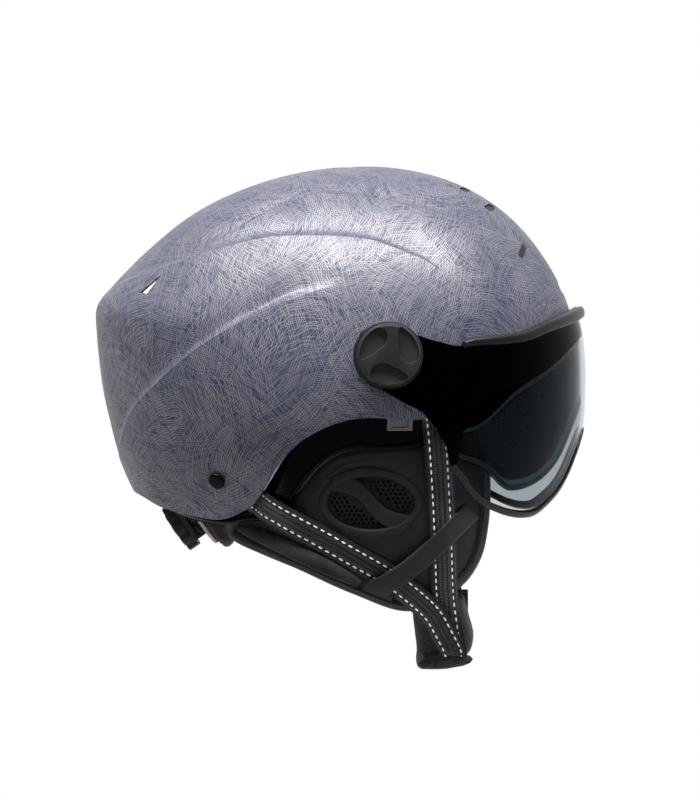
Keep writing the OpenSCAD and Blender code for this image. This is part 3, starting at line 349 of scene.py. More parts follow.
def new_mesh(name, points, faces, cloth=None):
    """Piece with outward faces; cloth gives each point's place across and along its cloth."""
    mesh = bpy.data.meshes.new(name)
    mesh.from_pydata((np.asarray(points) / 1000).tolist(), [], [tuple(map(int, f)) for f in faces])
    if cloth is not None:
        layer = mesh.attributes.new("cloth", "FLOAT_VECTOR", "POINT")
        flat = np.zeros((len(points), 3), np.float32)
        flat[:, :2] = cloth
        layer.data.foreach_set("vector", flat.ravel())
    work = bmesh.new()
    work.from_mesh(mesh)
    bmesh.ops.recalc_face_normals(work, faces=work.faces)
    work.to_mesh(mesh)
    work.free()
    return linked(name, mesh)


def settle(piece):
    """Applies the modifiers."""
    piece.data = bpy.data.meshes.new_from_object(
        piece.evaluated_get(bpy.context.evaluated_depsgraph_get()))
    piece.modifiers.clear()
    piece.data.name = piece.name


def carve(piece, cutter, operation="DIFFERENCE"):
    """Cuts the piece with a closed solid, or adds it, and throws the cutter away."""
    cut = piece.modifiers.new("cut", "BOOLEAN")
    cut.object, cut.operation, cut.solver = cutter, operation, "MANIFOLD"
    settle(piece)
    bpy.data.objects.remove(cutter)


def smooth(piece, sharp):
    """Shades the piece smooth, apart from edges sharper than an angle."""
    mesh = piece.data
    mesh.polygons.foreach_set("use_smooth", np.ones(len(mesh.polygons), bool))
    mesh.set_sharp_from_angle(angle=np.radians(sharp))


def place(piece, body, slot, material, *replaced):
    """Gives a finished piece its material and its body, and hides the nodes that it stands for."""
    piece.data.materials.clear()
    piece.data.materials.append(material)
    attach(piece, body)
    if replaced:
        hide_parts(*replaced)
    return piece


def flip(mesh):
    """Turns a right mesh into its left mirror image."""
    mesh.transform(MIRROR)
    mesh.flip_normals()


def mirrored(piece, name):
    """The left copy of a right piece."""
    mesh = piece.data.copy()
    flip(mesh)
    mesh.name = name
    return linked(name, mesh)


def solid(name, make, matrix):
    """Closed solid from a function that fills a bmesh, moved by a matrix."""
    work = bmesh.new()
    make(work)
    bmesh.ops.transform(work, matrix=matrix, verts=work.verts)
    bmesh.ops.scale(work, vec=(0.001,) * 3, verts=work.verts)
    bmesh.ops.recalc_face_normals(work, faces=work.faces)
    mesh = bpy.data.meshes.new(name)
    work.to_mesh(mesh)
    work.free()
    return linked(name, mesh)


def cylinder(r, low, high, sides=96):
    def make(work):
        bmesh.ops.create_cone(work, cap_ends=True, segments=sides, radius1=r, radius2=r,
                              depth=high - low, matrix=Matrix.Translation((0, 0, (low + high) / 2)))
    return make


def prism(outline, low, high):
    def make(work):
        floor_face = work.faces.new([work.verts.new((x, y, low)) for x, y in outline])
        rise = bmesh.ops.extrude_face_region(work, geom=[floor_face])
        bmesh.ops.translate(work, vec=(0, 0, high - low),
                            verts=[v for v in rise["geom"] if isinstance(v, bmesh.types.BMVert)])
    return make


def slot_outline(length, width):
    half, r, turns = (length - width) / 2, width / 2, np.linspace(0, 180, 17)
    return [(r * cosd(a), half + r * sind(a)) for a in turns] + [
        (-r * cosd(a), -half - r * sind(a)) for a in turns]


def at_pivot(y, side):
    """Matrix of the visor's pivot: Z points away from the helmet's middle."""
    return Matrix.Translation((PIVOT_X, side * y, PIVOT_Z)) @ Matrix.Rotation(
        np.radians(90 if side < 0 else -90), 4, "X")


def node_group(name, inputs, outputs):
    """Empty shader group: inputs are name, socket kind and default, outputs name and kind."""
    made = bpy.data.node_groups.new(name, "ShaderNodeTree")
    for key, kind, value in inputs:
        socket = made.interface.new_socket(key, in_out="INPUT", socket_type="NodeSocket" + kind)
        if value is not None:
            socket.default_value = value
    for key, kind in outputs:
        made.interface.new_socket(key, in_out="OUTPUT", socket_type="NodeSocket" + kind)
    return made, add(made, "NodeGroupInput").outputs, add(made, "NodeGroupOutput")


def stretched(tree, vector, by):
    """The vector times a number."""
    return add(tree, "ShaderNodeVectorMath", {0: vector, "Scale": by}, operation="SCALE").outputs[0]


def blend(tree, share, low, high):
    """Colour between two others."""
    return add(tree, "ShaderNodeMix", {0: share, 6: (*low, 1), 7: (*high, 1)},
               data_type="RGBA").outputs[2]


def effect(tree, group, **inputs):
    """The outputs of a shader group placed in a material, with this material's values."""
    return add(tree, "ShaderNodeGroup", inputs, node_tree=group).outputs


def finish_of(name, color, roughness, **more):
    """New material with a Principled shader; returns it, its tree and the shader."""
    made = bpy.data.materials.new(name)
    tree = empty_tree(made)
    shader = add(tree, "ShaderNodeBsdfPrincipled", {
        "Base Color": (*color, 1), "Roughness": roughness,
        **{key.replace("_", " "): value for key, value in more.items()}})
    add(tree, "ShaderNodeOutputMaterial", {"Surface": shader.outputs[0]})
    return made, tree, shader


def bump(tree, shader, height, depth):
    """Depth is the height of the relief in metres."""
    made = add(tree, "ShaderNodeBump", {"Height": height, "Distance": depth, "Strength": 1.0})
    tree.links.new(made.outputs[0], shader.inputs["Normal"])


def object_mm(tree):
    """Object coordinates in millimetres."""
    place = add(tree, "ShaderNodeTexCoord").outputs["Object"]
    return add(tree, "ShaderNodeMapping", {"Vector": place, "Scale": (1000, 1000, 1000)}).outputs[0]


# Curved strokes: each patch of the surface has its own centre, beside it, and its strokes are
# evenly spaced arcs round that centre, so that patches cross like a hand-drawn hatch
hatch, given, result = node_group("curved_strokes", [
    ("Place", "Vector", None), ("Shift", "Vector", (0, 0, 0)), ("Patch", "Float", 26.0),
    ("Spacing", "Float", 2.2), ("Stroke", "Float", 14.0), ("Width", "Float", 0.3)],
    [("Mask", "Float")])
moved = vmath(hatch, "ADD", given["Place"], given["Shift"])
cells = add(hatch, "ShaderNodeTexVoronoi", {
    "Vector": moved, "Scale": maths(hatch, "DIVIDE", 1.0, given["Patch"])}, feature="F1").outputs
random = add(hatch, "ShaderNodeSeparateXYZ", {0: cells["Color"]}).outputs
from_middle = vmath(hatch, "SUBTRACT", vmath(hatch, "SUBTRACT", cells["Position"],
                    given["Shift"]), (0, 0, CENTRE_Z))
facing = vmath(hatch, "NORMALIZE", from_middle)
chance = vmath(hatch, "SUBTRACT", cells["Color"], (0.5, 0.5, 0.5))
wide = stretched(hatch, chance, 130.0)
outside = stretched(hatch, facing, vmath(hatch, "DOT_PRODUCT", wide, facing))
level = vmath(hatch, "NORMALIZE", vmath(hatch, "SUBTRACT", wide, outside))
away = maths(hatch, "ADD", 45.0, maths(hatch, "MULTIPLY", 90.0, random[2]))
level = stretched(hatch, level, away)
centre = vmath(hatch, "ADD", cells["Position"], level)
radius = vmath(hatch, "LENGTH", vmath(hatch, "SUBTRACT", moved, centre))
along = vmath(hatch, "DOT_PRODUCT", moved, vmath(hatch, "CROSS_PRODUCT", facing,
              vmath(hatch, "NORMALIZE", level)))
wobble = add(hatch, "ShaderNodeTexNoise", {"Vector": moved, "Scale": 0.09, "Detail": 1.0})
lane = maths(hatch, "ADD", maths(hatch, "DIVIDE", radius, given["Spacing"]),
             maths(hatch, "MULTIPLY", wobble.outputs[0], 2.5))
place_in_lane = maths(hatch, "ABSOLUTE", maths(hatch, "SUBTRACT",
                      maths(hatch, "FRACT", lane), 0.5))
from_line = maths(hatch, "MULTIPLY", place_in_lane, given["Spacing"])
line_mask = remap(hatch, from_line, maths(hatch, "MULTIPLY", given["Width"], 0.4),
                  given["Width"], 1.0, 0.0)
# Noise, stretched along each lane, breaks its line into strokes
spread = add(hatch, "ShaderNodeCombineXYZ", {
    0: maths(hatch, "DIVIDE", along, given["Stroke"]),
    1: maths(hatch, "MULTIPLY", maths(hatch, "FLOOR", lane), 3.7),
    2: maths(hatch, "MULTIPLY", random[0], 90.0)})
breaks = add(hatch, "ShaderNodeTexNoise", {"Vector": spread.outputs[0], "Scale": 1.0,
             "Detail": 0.0})
part = remap(hatch, breaks.outputs[0], 0.4, 0.5, interpolation_type="SMOOTHSTEP")
hatch.links.new(maths(hatch, "MULTIPLY", line_mask, part), result.inputs["Mask"])

INK, STROKE = (0.011, 0.021, 0.049), (0.23, 0.218, 0.245)
shell_print, tree, shader = finish_of("shell_print", (0.1, 0.1, 0.1), 0.42,
                                      Specular_IOR_Level=0.4)
where = object_mm(tree)
strokes = 0.0
for shift, patch, spacing, stroke, width in [
        ((0, 0, 0), 34, 1.3, 26, 0.15), ((300, 40, 170), 27, 1.15, 22, 0.135),
        ((-210, 330, 60), 40, 1.5, 32, 0.155), ((90, -410, 240), 23, 1.05, 18, 0.13)]:
    layer = effect(tree, hatch, Place=where, Shift=shift, Patch=patch, Spacing=spacing,
                   Stroke=stroke, Width=width)
    strokes = maths(tree, "MAXIMUM", strokes, layer["Mask"])
cloud = add(tree, "ShaderNodeTexNoise", {"Vector": where, "Scale": 0.035, "Detail": 2.0})
strokes = maths(tree, "MULTIPLY", strokes, remap(tree, cloud.outputs[0], 0.3, 0.7, 0.6, 1.0))
tree.links.new(blend(tree, strokes, INK, STROKE), shader.inputs["Base Color"])
tree.links.new(maths(tree, "MULTIPLY", strokes, 0.4), shader.inputs["Metallic"])
tree.links.new(remap(tree, strokes, 0.0, 1.0, 0.5, 0.42), shader.inputs["Roughness"])

# Rows gather on both sides of each edge line, so that the crease is crisp
turns = np.arange(SHELL_COLS) * 360 / SHELL_COLS
leads = [rim_e(turns), *(curve(t, turned(turns)) for t in (LEAD_LOW, LEAD_MID, LEAD_TOP)),
         np.full(SHELL_COLS, 89.0)]
rows = []
for low, high, count in zip(leads[:-1], leads[1:], SHELL_ROWS):
    t = np.arange(count) / count
    t = t - GATHER * np.sin(2 * np.pi * t) / (2 * np.pi)
    rows += [low + (high - low) * u for u in t]
rows.append(leads[-1])
outer = [polar(turns, e, shell_r(turns, e, crisp_wall)) for e in rows]
inner = [polar(turns, e, shell_r(turns, e) - SHELL_WALL)
         for e in [leads[0] + (leads[-1] - leads[0]) * u for u in np.linspace(0, 1, LINING_ROWS)]]
lip = polar(turns, leads[0] - 0.25, shell_r(turns, leads[0], crisp_wall) - SHELL_WALL / 2)
shell = new_mesh("printed_shell", *skin([*outer[::-1], lip, *inner]))
seat_y = float(side_y(PIVOT_X, PIVOT_Z)) - SEAT_DEPTH
for side in (-1, 1):
    carve(shell, solid("disc", cylinder(HUB_R - 0.2, 0, SEAT_BACK, 128),
                       at_pivot(seat_y - SEAT_BACK, side)), "UNION")
    carve(shell, solid("disc", cylinder(9, -9, 0), at_pivot(seat_y, side)), "UNION")
    carve(shell, solid("seat", cylinder(HUB_R + 0.6, 0, 20, 128), at_pivot(seat_y, side)))
    carve(shell, solid("bore", cylinder(6, -17, 14), at_pivot(seat_y, side)))
    carve(shell, solid("rivet", cylinder(2.2, 0, 12, 32),
                       on_shell(-side * RIVET_TURN, RIVET_E, 5)))
    carve(shell, solid("rear_vent", prism(REAR_VENT, -6, 6), at_rear_vent(side)))
    for phi, e, spin, length, width in SLOTS[:None if side < 0 else 3]:
        carve(shell, solid("vent", prism(slot_outline(length, width), -8, 8), on_shell(
            -side * phi, e, 0, -side * (90 - spin))))
smooth(shell, 32)
place(shell, "helmet", "shell_print", shell_print, "outer_shell")

# Foam liner
# Expanded foam moulded to the shell's inside, with a channel for the chin straps at the sides
# and grooves between the vents on the head's side. Its beads show as a fine pattern, and the
# grooves between them are darkened with painted shade.
FOAM_THICK, FOAM_SIDE, FOAM_GAP, STRAP_RELIEF = 28.0, 24.0, 0.3, 3.6
FOAM_COLS, FOAM_ROWS, AIRWAYS, AIRWAY_DEPTH = 240, 60, 8, 2.4

bead, given, result = node_group("foam_beads", [("Place", "Vector", None),
                                 ("Size", "Float", 2.6)], [("Height", "Float"), ("Tone", "Float")])
edge = add(bead, "ShaderNodeTexVoronoi", {"Vector": given["Place"], "Scale": maths(
    bead, "DIVIDE", 1.0, given["Size"])}, feature="DISTANCE_TO_EDGE").outputs["Distance"]
bead.links.new(maths(bead, "MINIMUM", edge, 0.25), result.inputs["Height"])
# The tone is darker in the grooves between the beads: painted shade
bead.links.new(remap(bead, edge, 0.0, 0.1, 0.85, 1.0), result.inputs["Tone"])
FOAM_LOW, FOAM_WHITE = (0.6, 0.6, 0.57), (0.84, 0.84, 0.81)
foam, tree, shader = finish_of("white_foam", (0.8, 0.8, 0.77), 0.75)
beads = effect(tree, bead, Place=object_mm(tree))
tree.links.new(blend(tree, beads["Tone"], FOAM_LOW, FOAM_WHITE), shader.inputs["Base Color"])
bump(tree, shader, beads["Height"], 0.0006)


def foam_out(phi, e):
    """The liner's outer face, with room for the straps under the shell's sides."""
    q = turned(phi)
    return shell_r(phi, e) - (SHELL_WALL + FOAM_GAP + STRAP_RELIEF * (1 - ease(7, 17, e))
                              * ease(48, 56, q) * (1 - ease(143, 152, q)))


def foam_in(phi, e):
    """The liner's face on the head's side."""
    return (plain_r(phi, e) - SHELL_WALL - FOAM_THICK
            + (FOAM_THICK - FOAM_SIDE) * (cosd(e) * sind(phi)) ** 2)


def airway(phi, e):
    """How deep the grooves are that lead the air over the head."""
    return AIRWAY_DEPTH * ease(48, 60, e) * (1 - ease(78, 86, e)) * np.maximum(
        0, np.cos(np.radians(phi) * AIRWAYS)) ** 4


turns = np.arange(FOAM_COLS) * 360 / FOAM_COLS
rim = rim_e(turns)
levels = [rim + (88 - rim) * u for u in np.linspace(0, 1, FOAM_ROWS)]
outer = [polar(turns, e, foam_out(turns, e)) for e in levels]
inner = [polar(turns, e, foam_in(turns, e) + airway(turns, e)) for e in levels]
rim_edge = polar(turns, rim - 0.4, (foam_out(turns, rim) + foam_in(turns, rim)) / 2)
liner = new_mesh("foam_shell", *skin([*outer[::-1], rim_edge, *inner]))
for side in (-1, 1):
    carve(liner, solid("pocket", cylinder(HUB_R + 3, -6.4, 24), at_pivot(seat_y, side)))
    carve(liner, solid("pocket", cylinder(12, -17, 13), at_pivot(seat_y, side)))
smooth(liner, 40)
place(liner, "helmet", "foam", foam, "foam_liner")
# The foam stands up into the rear vents and leaves a slit along their upper edge
for side, name in [(-1, "right"), (1, "left")]:
    boss = solid("vent_foam_" + name, prism([(-1.4, -5.6), (2.8, -4.4), (0.9, 7)], -2.6, -0.7),
                 at_rear_vent(side))
    place(boss, "helmet", "foam", foam)

# Lower trim
# Gloss black moulding that runs all round inside the shell's rim and hangs below it at the
# ears. Its lower edge is rolled into a bead, with a fine step above it.
TRIM_INSET, TRIM_WALL, TRIM_LEAN, TRIM_TOP = 7.4, 1.8, 0.12, 3.4
DROP = [[0, 3], [35, 4], [48, 6], [56, 13], [63, 16.5], [70, 17.5], [78, 19], [87, 18.5],
        [95, 19], [103, 23.5], [110, 27], [116, 22], [123, 14], [132, 8], [147, 7], [165, 6],
        [180, 6]]
TRIM_COLS = 420

grain, given, result = node_group("moulded_grain", [("Place", "Vector", None),
                                  ("Size", "Float", 0.6), ("Low", "Float", 0.4),
                                  ("High", "Float", 0.5)],
                                  [("Height", "Float"), ("Roughness", "Float")])
fine = add(grain, "ShaderNodeTexNoise", {"Vector": given["Place"], "Detail": 3.0,
           "Scale": maths(grain, "DIVIDE", 1.0, given["Size"])})
broad = add(grain, "ShaderNodeTexNoise", {"Vector": given["Place"], "Scale": 0.06, "Detail": 3.0})
grain.links.new(fine.outputs[0], result.inputs["Height"])
grain.links.new(remap(grain, broad.outputs[0], 0.3, 0.7, given["Low"], given["High"]),
                result.inputs["Roughness"])


def moulded(name, color, low, high, size=0.6, depth=0.00004, **more):
    """Moulded plastic or rubber with a fine grain and slightly uneven gloss."""
    made, tree, shader = finish_of(name, color, 0.5, **{"Specular_IOR_Level": 0.2, **more})
    texture = effect(tree, grain, Place=object_mm(tree), Size=size, Low=low, High=high)
    tree.links.new(texture["Roughness"], shader.inputs["Roughness"])
    bump(tree, shader, texture["Height"], depth)
    return made


trim_gloss = moulded("gloss_black", (0.0012, 0.0012, 0.0015), 0.05, 0.1, 24, 0.00006,
                     Specular_IOR_Level=0.12)
turns = np.arange(TRIM_COLS) * 360 / TRIM_COLS
rim = rim_e(turns)
rim_r = shell_r(turns, rim)
drop = curve(DROP, turned(turns))
out = np.stack([cosd(turns), sind(turns), 0 * turns], 1)
lean = TRIM_LEAN * out + [0, 0, 1]


def trim_point(share, above, proud, wall=0.0):
    """A place on the trim: a share of its drop, and a distance up from there."""
    down = np.clip(share * drop - above, 0, None)[:, None]
    return polar(turns, rim, rim_r - TRIM_INSET - wall) - lean * down + out * proud


ring = [polar(turns, rim + TRIM_TOP, rim_r - TRIM_INSET - 0.4),
        polar(turns, rim + 1.2, rim_r - TRIM_INSET)]
ring += [trim_point(s, 0, 0.5 * s * (1 - s)) for s in (0, 0.25, 0.5)]
ring += [trim_point(1, up, proud) for up, proud in [
    (4.6, 0), (3.7, -0.05), (3.5, -0.5), (3.1, -0.5), (2.9, 0.1), (2.4, 0.6), (1.7, 0.85),
    (1.0, 0.7), (0.4, 0.25), (0, -0.5)]]
ring += [trim_point(1, up, -0.3, TRIM_WALL) for up in (0, 1.2)]
ring += [trim_point(0.5, 0, 0, TRIM_WALL), trim_point(0, 0, 0, TRIM_WALL),
         polar(turns, rim + TRIM_TOP, rim_r - TRIM_INSET - 0.4 - TRIM_WALL)]
trim_rows = np.stack(ring, 1)
points, faces = skin(trim_rows, True)


def trim_y(x, z):
    """How far out the trim's face lies at a place in side view."""
    face = trim_rows[:, :8].reshape(-1, 3)
    face = face[face[:, 1] > 0]
    return float(face[np.argmin((face[:, 0] - x) ** 2 + (face[:, 2] - z) ** 2), 1])


def together(points, faces, more_points, more_faces):
    """Two skins in one list of points and one of faces."""
    start = len(points)
    return np.vstack([points, more_points]), faces + [
        tuple(int(k) + start for k in f) for f in more_faces]


# The clip that holds the ear pad shows as a bevelled frame round a slanted window
CLIP = np.array([(23.6, 47.4), (37.6, 45.8), (38.6, 39.6), (25.8, 40.8)])
CLIP_EDGE = [(1.25, -1.0), (1.22, 0.9), (1.1, 1.3), (0.92, 1.2), (0.8, -0.4)]
clip_middle = CLIP.mean(0)
for side in (-1, 1):
    clip = [(x, side * (trim_y(x, z) + rise), z) for share, rise in CLIP_EDGE
            for x, z in clip_middle + share * (CLIP - clip_middle)]
    window = range(len(clip) - 4, len(clip))
    points, faces = together(points, faces, clip,
                             [*grid_faces(len(CLIP_EDGE), 4, False, True), window])
trim = new_mesh("lower_trim_moulding", points, faces)
smooth(trim, 40)
place(trim, "helmet", "trim_gloss", trim_gloss, "lower_trim")

# Small fittings of the shell
# Moulded grilles close the vents, gloss caps hide the rivets of the rear straps, and the visor
# turns on metal bushes. Edges of the machined and moulded pieces are broken with a small radius.


def finished_copy(node, name, radius, segments, slot, material, body="helmet", sharp=30):
    """The CAD solid with its edges rounded, in place of it."""
    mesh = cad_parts[node].data.copy()
    mesh.name = name
    work = bmesh.new()
    work.from_mesh(mesh)
    bmesh.ops.remove_doubles(work, verts=work.verts, dist=2e-6)
    bmesh.ops.dissolve_limit(work, angle_limit=np.radians(1.2), verts=work.verts, edges=work.edges)
    work.to_mesh(mesh)
    work.free()
    piece = linked(name, mesh)
    edge = piece.modifiers.new("edge", "BEVEL")
    edge.width, edge.segments, edge.limit_method = radius / 1000, segments, "ANGLE"
    edge.angle_limit, edge.harden_normals = np.radians(sharp), False
    edge.use_clamp_overlap = True
    settle(piece)
    smooth(piece, 50)
    return place(piece, body, slot, material, node)


def dress(node, material):
    """Gives a carried-over CAD node its finish."""
    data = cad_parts[node].data
    data.materials.clear()
    data.materials.append(material)


black_matt = moulded("matt_black", (0.013, 0.013, 0.014), 0.5, 0.62, 0.5, 0.00005)
dress("vent_grilles", black_matt)
finished_copy("strap_rivets", "rivet_caps", 1.1, 3, slot="trim_gloss", material=trim_gloss)
for node, name, color, low, metal, slot in [
        ("pivot_bushes", "turned_bush", (0.55, 0.55, 0.57), 0.32, 1.0, "bush_metal"),
        ("pivot_inserts", "turned_brass", (0.72, 0.5, 0.2), 0.3, 1.0, "insert_brass"),
        ("pivot_washers", "natural_acetal", (0.72, 0.71, 0.66), 0.45, 0.0, "washer")]:
    metal_like = moulded(name, color, low, low + 0.1, 2, 0.00003, Metallic=metal)
    finished_copy(node, node + "_turned", 0.3, 1, slot=slot, material=metal_like)
anchor_metal = moulded("stamped_steel", (0.4, 0.4, 0.42), 0.35, 0.5, 1.5, 0.00003, Metallic=1.0)
finished_copy("strap_anchors", "strap_anchors_stamped", 0.3, 1, slot="bush_metal",
              material=anchor_metal)

# Visor
# A clear smoke lens with a dark inner lens behind it, joined by a black gasket round the inner
# one. A rolled rubber seal lies along the top edge and a rubber trim along the lower one.
VISOR_STAND, VISOR_STAND_SIDE, HUB_DIP = 6, 7.5, 2.65
LENS_WALL, INNER_WALL, LENS_AIR = 2, 1.1, 1.3
VISOR_END, INNER_END, SEAL_END, STRIP_END = 81, 58, 56.3, 57.4
MASK_DROP, MASK_FROM, SHADOW_PASS = 0.3, 56.2, 0.45
SMOKE, MASK_BLACK, DARK_LENS = (0.56, 0.6, 0.62), (0.002, 0.003, 0.005), (0.05, 0.09, 0.12)
VISOR_FRONT = [[-40, -5.2], [-30, -2.6], [-10, -1], [0, -1.1], [6, -0.4], [15, 1.45], [25, 2]]
VISOR_SIDE = [[-40, -6.5], [-20, -2.5], [-8, -0.5], [0, 0], [15, 1.5], [30, 3.5]]
VISOR_TOP = [[0, 19.2], [7.5, 18.9], [27, 16.6], [39, 14.2], [54, 13.5], [58, 12.8],
             [65, 14.6], [70, 16], [75, 12], [81, 5]]
VISOR_LOW = [[0, -9.7], [4, -11], [7.5, -15.8], [8.5, -19.5], [10.5, -24], [14.5, -28],
             [18.5, -31], [23, -32], [28, -32.2], [34.5, -31.6], [43, -29.6], [49.5, -26.2],
             [54, -22.2], [57.5, -19], [59.5, -14.7], [62, -11], [65.5, -6.7], [68, -4.3],
             [72, -2.3], [76, 0.0], [81, 3.2]]
INNER_LOW = [[0, -2.5], [8, -4.5], [13, -8], [15.5, -11.5], [17, -14.8], [19, -18.3],
             [23.5, -22.7], [28.5, -25], [34, -26], [37.5, -25.2], [41, -23.3], [45, -21],
             [50, -19], [56, -17.2], [59, -12]]


def visor_r(phi, e):
    """Distance of the visor's outer face from the shell's centre."""
    return oval(phi, SHELL_FRONT + VISOR_STAND + curve(VISOR_FRONT, e),
                SHELL_SIDE + VISOR_STAND_SIDE + curve(VISOR_SIDE, e)) - HUB_DIP * ease(
                    62, 77, np.abs(phi))


def lens_band(name, end, cols, rows, top, low, outer, inner):
    """Lens between an upper and a lower edge, from its outer to its inner depth."""
    phi = np.linspace(-end, end, cols + 1)[:, None]
    # Columns gather near the front, where the lower edge rises steeply
    phi = phi * (0.55 + 0.45 * np.abs(phi) / end)
    q = np.abs(phi)
    t = np.linspace(0, 1, rows + 1)[None]
    e = low(q) + (top(q) - low(q)) * t
    sheets = [polar(phi, e, visor_r(phi, e) - outer),
              polar(phi, e[:, ::-1], visor_r(phi, e[:, ::-1]) - inner)]
    return new_mesh(name, *skin(np.concatenate(sheets, 1)))


def glass(name, color):
    """Tinted, coated lens that lets the lamps through to what lies behind it."""
    made, tree, shader = finish_of(name, color, 0.02, Transmission_Weight=1.0, IOR=1.1)
    shadow = add(tree, "ShaderNodeLightPath").outputs["Is Shadow Ray"]
    tree.links.new(remap(tree, shadow, 0.0, 1.0, 1.0, SHADOW_PASS), shader.inputs["Alpha"])
    return made, tree, shader


def inner_top(q):
    """Elevation of the inner lens's upper edge."""
    return np.minimum(curve(RIM, q) - 3, curve(VISOR_TOP, q) - 3)


# Clear smoke in front of the eyes; nearly black over the shell's brim and round the hubs
smoke, tree, shader = glass("smoke_lens", SMOKE)
masked = add(tree, "ShaderNodeAttribute", attribute_name="mask_edge").outputs["Fac"]
tint = blend(tree, remap(tree, masked, -0.08, 0.08), SMOKE, MASK_BLACK)
tree.links.new(tint, shader.inputs["Base Color"])
dark = glass("dark_lens", DARK_LENS)[0]
lens = lens_band("visor_lens", VISOR_END, 260, 22, lambda q: curve(VISOR_TOP, q),
                 lambda q: curve(VISOR_LOW, q), 0, LENS_WALL)
hub_y = seat_y + 1.0
spots = np.empty(len(lens.data.vertices) * 3)
lens.data.vertices.foreach_get("co", spots)
spots = spots.reshape(-1, 3) * 1000 - [0, 0, CENTRE_Z]
q = np.degrees(np.abs(np.arctan2(spots[:, 1], spots[:, 0])))
e = np.degrees(np.arctan2(spots[:, 2], np.hypot(spots[:, 0], spots[:, 1])))
mark = lens.data.attributes.new("mask_edge", "FLOAT", "POINT")
mark.data.foreach_set("value", np.maximum(e - (inner_top(q) - MASK_DROP), q - MASK_FROM))
for side in (-1, 1):
    carve(lens, solid("hub", cylinder(HUB_R, -20, 40, 160), at_pivot(hub_y, side)))
smooth(lens, 50)
place(lens, "visor", "visor_smoke", smoke, "visor")
depth = LENS_WALL + LENS_AIR
inner_lens = lens_band("inner_dark_lens", INNER_END, 180, 16, inner_top,
                       lambda q: curve(INNER_LOW, q), depth, depth + INNER_WALL)
smooth(inner_lens, 50)
place(inner_lens, "visor", "visor_dark", dark, "inner_lens")


def way_along(line, loop):
    """The way ahead at each point of a line."""
    ahead = np.roll(line, -1, 0) - np.roll(line, 1, 0)
    if not loop:
        ahead[0], ahead[-1] = line[1] - line[0], line[-1] - line[-2]
    return ahead


def lens_strip(name, line, loop, half_w, section):
    """Strip along a line on the lens; a section row is a depth and a share of the half width."""
    line = np.array(line, float)
    ahead = way_along(line, loop)
    t = unit(np.stack([ahead[:, 0] * cosd(line[:, 1]), ahead[:, 1]], 1))
    rings = []
    for depth, share in section:
        g = share * half_w(np.abs(line[:, 0])) / VISOR_DEGREE
        phi = line[:, 0] - g * t[:, 1] / cosd(line[:, 1])
        e = line[:, 1] + g * t[:, 0]
        rings.append(polar(phi, e, visor_r(phi, e) - depth))
    return new_mesh(name, *skin(np.stack(rings, 1), loop))


rubber = moulded("black_rubber", (0.0085, 0.008, 0.009), 0.3, 0.38, 0.4, 0.00003)
edge_rubber = moulded("edge_rubber", (0.014, 0.013, 0.014), 0.3, 0.38, 0.4, 0.00003)
half = [[q, inner_top(q) - 1.2] for q in range(0, 57, 2)]
half += [[q, float(curve(INNER_LOW, q)) + 1.2] for q in np.concatenate([
    [56.7], np.linspace(55, 24, 24), np.linspace(22.5, 13, 16), np.linspace(11, 0, 6)])]
gasket_line = half + [[-q, e] for q, e in half[-2:0:-1]]
gasket = lens_strip("lens_gasket_ring", gasket_line, True, lambda q: 0 * q + 1.4,
                    [[2.35, 0.8], [2.35, -0.8], [2.5, -1], [3.1, -1], [3.1, 1], [2.5, 1]])
smooth(gasket, 50)
place(gasket, "visor", "rubber", rubber, "lens_gasket")

# Rolled section of the seal: outwards and up from the visor's edge, in millimetres
SEAL = [[-2.6, 0.2], [-3.3, 0.9], [-3.1, 1.9], [-2.0, 2.9], [-0.5, 3.5], [0.8, 3.3], [1.4, 2.8],
        [2.0, 2.75], [3.2, 2.8], [4.1, 1.9], [4.45, 0.7], [4.3, -0.6], [3.9, -1.9], [3.5, -2.9],
        [2.6, -3.5], [1.2, -3.75], [0.3, -3.6], [0.3, 0.2]]
phi = np.linspace(-SEAL_END, SEAL_END, 150)
edge_e = curve(VISOR_TOP, np.abs(phi))
scale = 1 - 0.4 * (np.abs(phi) / SEAL_END) ** 4
seal = new_mesh("visor_top_seal", *skin(np.stack([polar(phi, edge_e + scale * up * 0.42,
                visor_r(phi, edge_e) + scale * out_by) for out_by, up in SEAL], 1)))
smooth(seal, 60)
place(seal, "visor", "rubber", rubber, "visor_seal")

phi = np.linspace(-STRIP_END, STRIP_END, 330)
phi = phi * (0.62 + 0.38 * np.abs(phi) / STRIP_END)
TRIM_SECTION = [[-0.85, 0.6], [-0.75, 0.95], [-0.45, 1.05], [-0.12, 1.0], [-0.12, -0.45],
                [2.12, -0.45], [2.12, 1.0], [2.45, 1.05], [2.75, 0.95], [2.85, 0.6],
                [2.85, -0.5], [2.55, -0.85], [2.0, -1.05], [1.0, -1.12], [0, -1.05],
                [-0.55, -0.85], [-0.85, -0.5]]
edge_trim = lens_strip("visor_edge_strip", np.stack([phi, curve(VISOR_LOW, np.abs(phi))], 1),
                       False, lambda q: 2.45 - q / 90, TRIM_SECTION)
smooth(edge_trim, 60)
place(edge_trim, "visor", "rubber", edge_rubber, "visor_edge_trim")

# Hubs and knobs
# Discs at the lens's ends turn on the bushes. A knob with three swirled finger recesses clamps
# each one, and its screw runs into a brass insert in the shell.
hub_black = moulded("hub_black", (0.01, 0.01, 0.011), 0.35, 0.45, 0.5, 0.00004)
knob_grey = moulded("knob_satin", (0.014, 0.0135, 0.0165), 0.34, 0.42, 0.35, 0.00005)
screw_steel = moulded("turned_steel", (0.55, 0.55, 0.56), 0.25, 0.35, 2, 0.00002, Metallic=1.0)
finished_copy("visor_hubs", "visor_hub_discs", 0.8, 3, body="visor", slot="hub",
              material=hub_black)
for side in ("right", "left"):
    finished_copy("knob_" + side, "knob_grip_" + side, 0.55, 3, "knob", knob_grey,
                  "knob_" + side, 28)
    dress("pivot_screw_" + side, screw_steel)
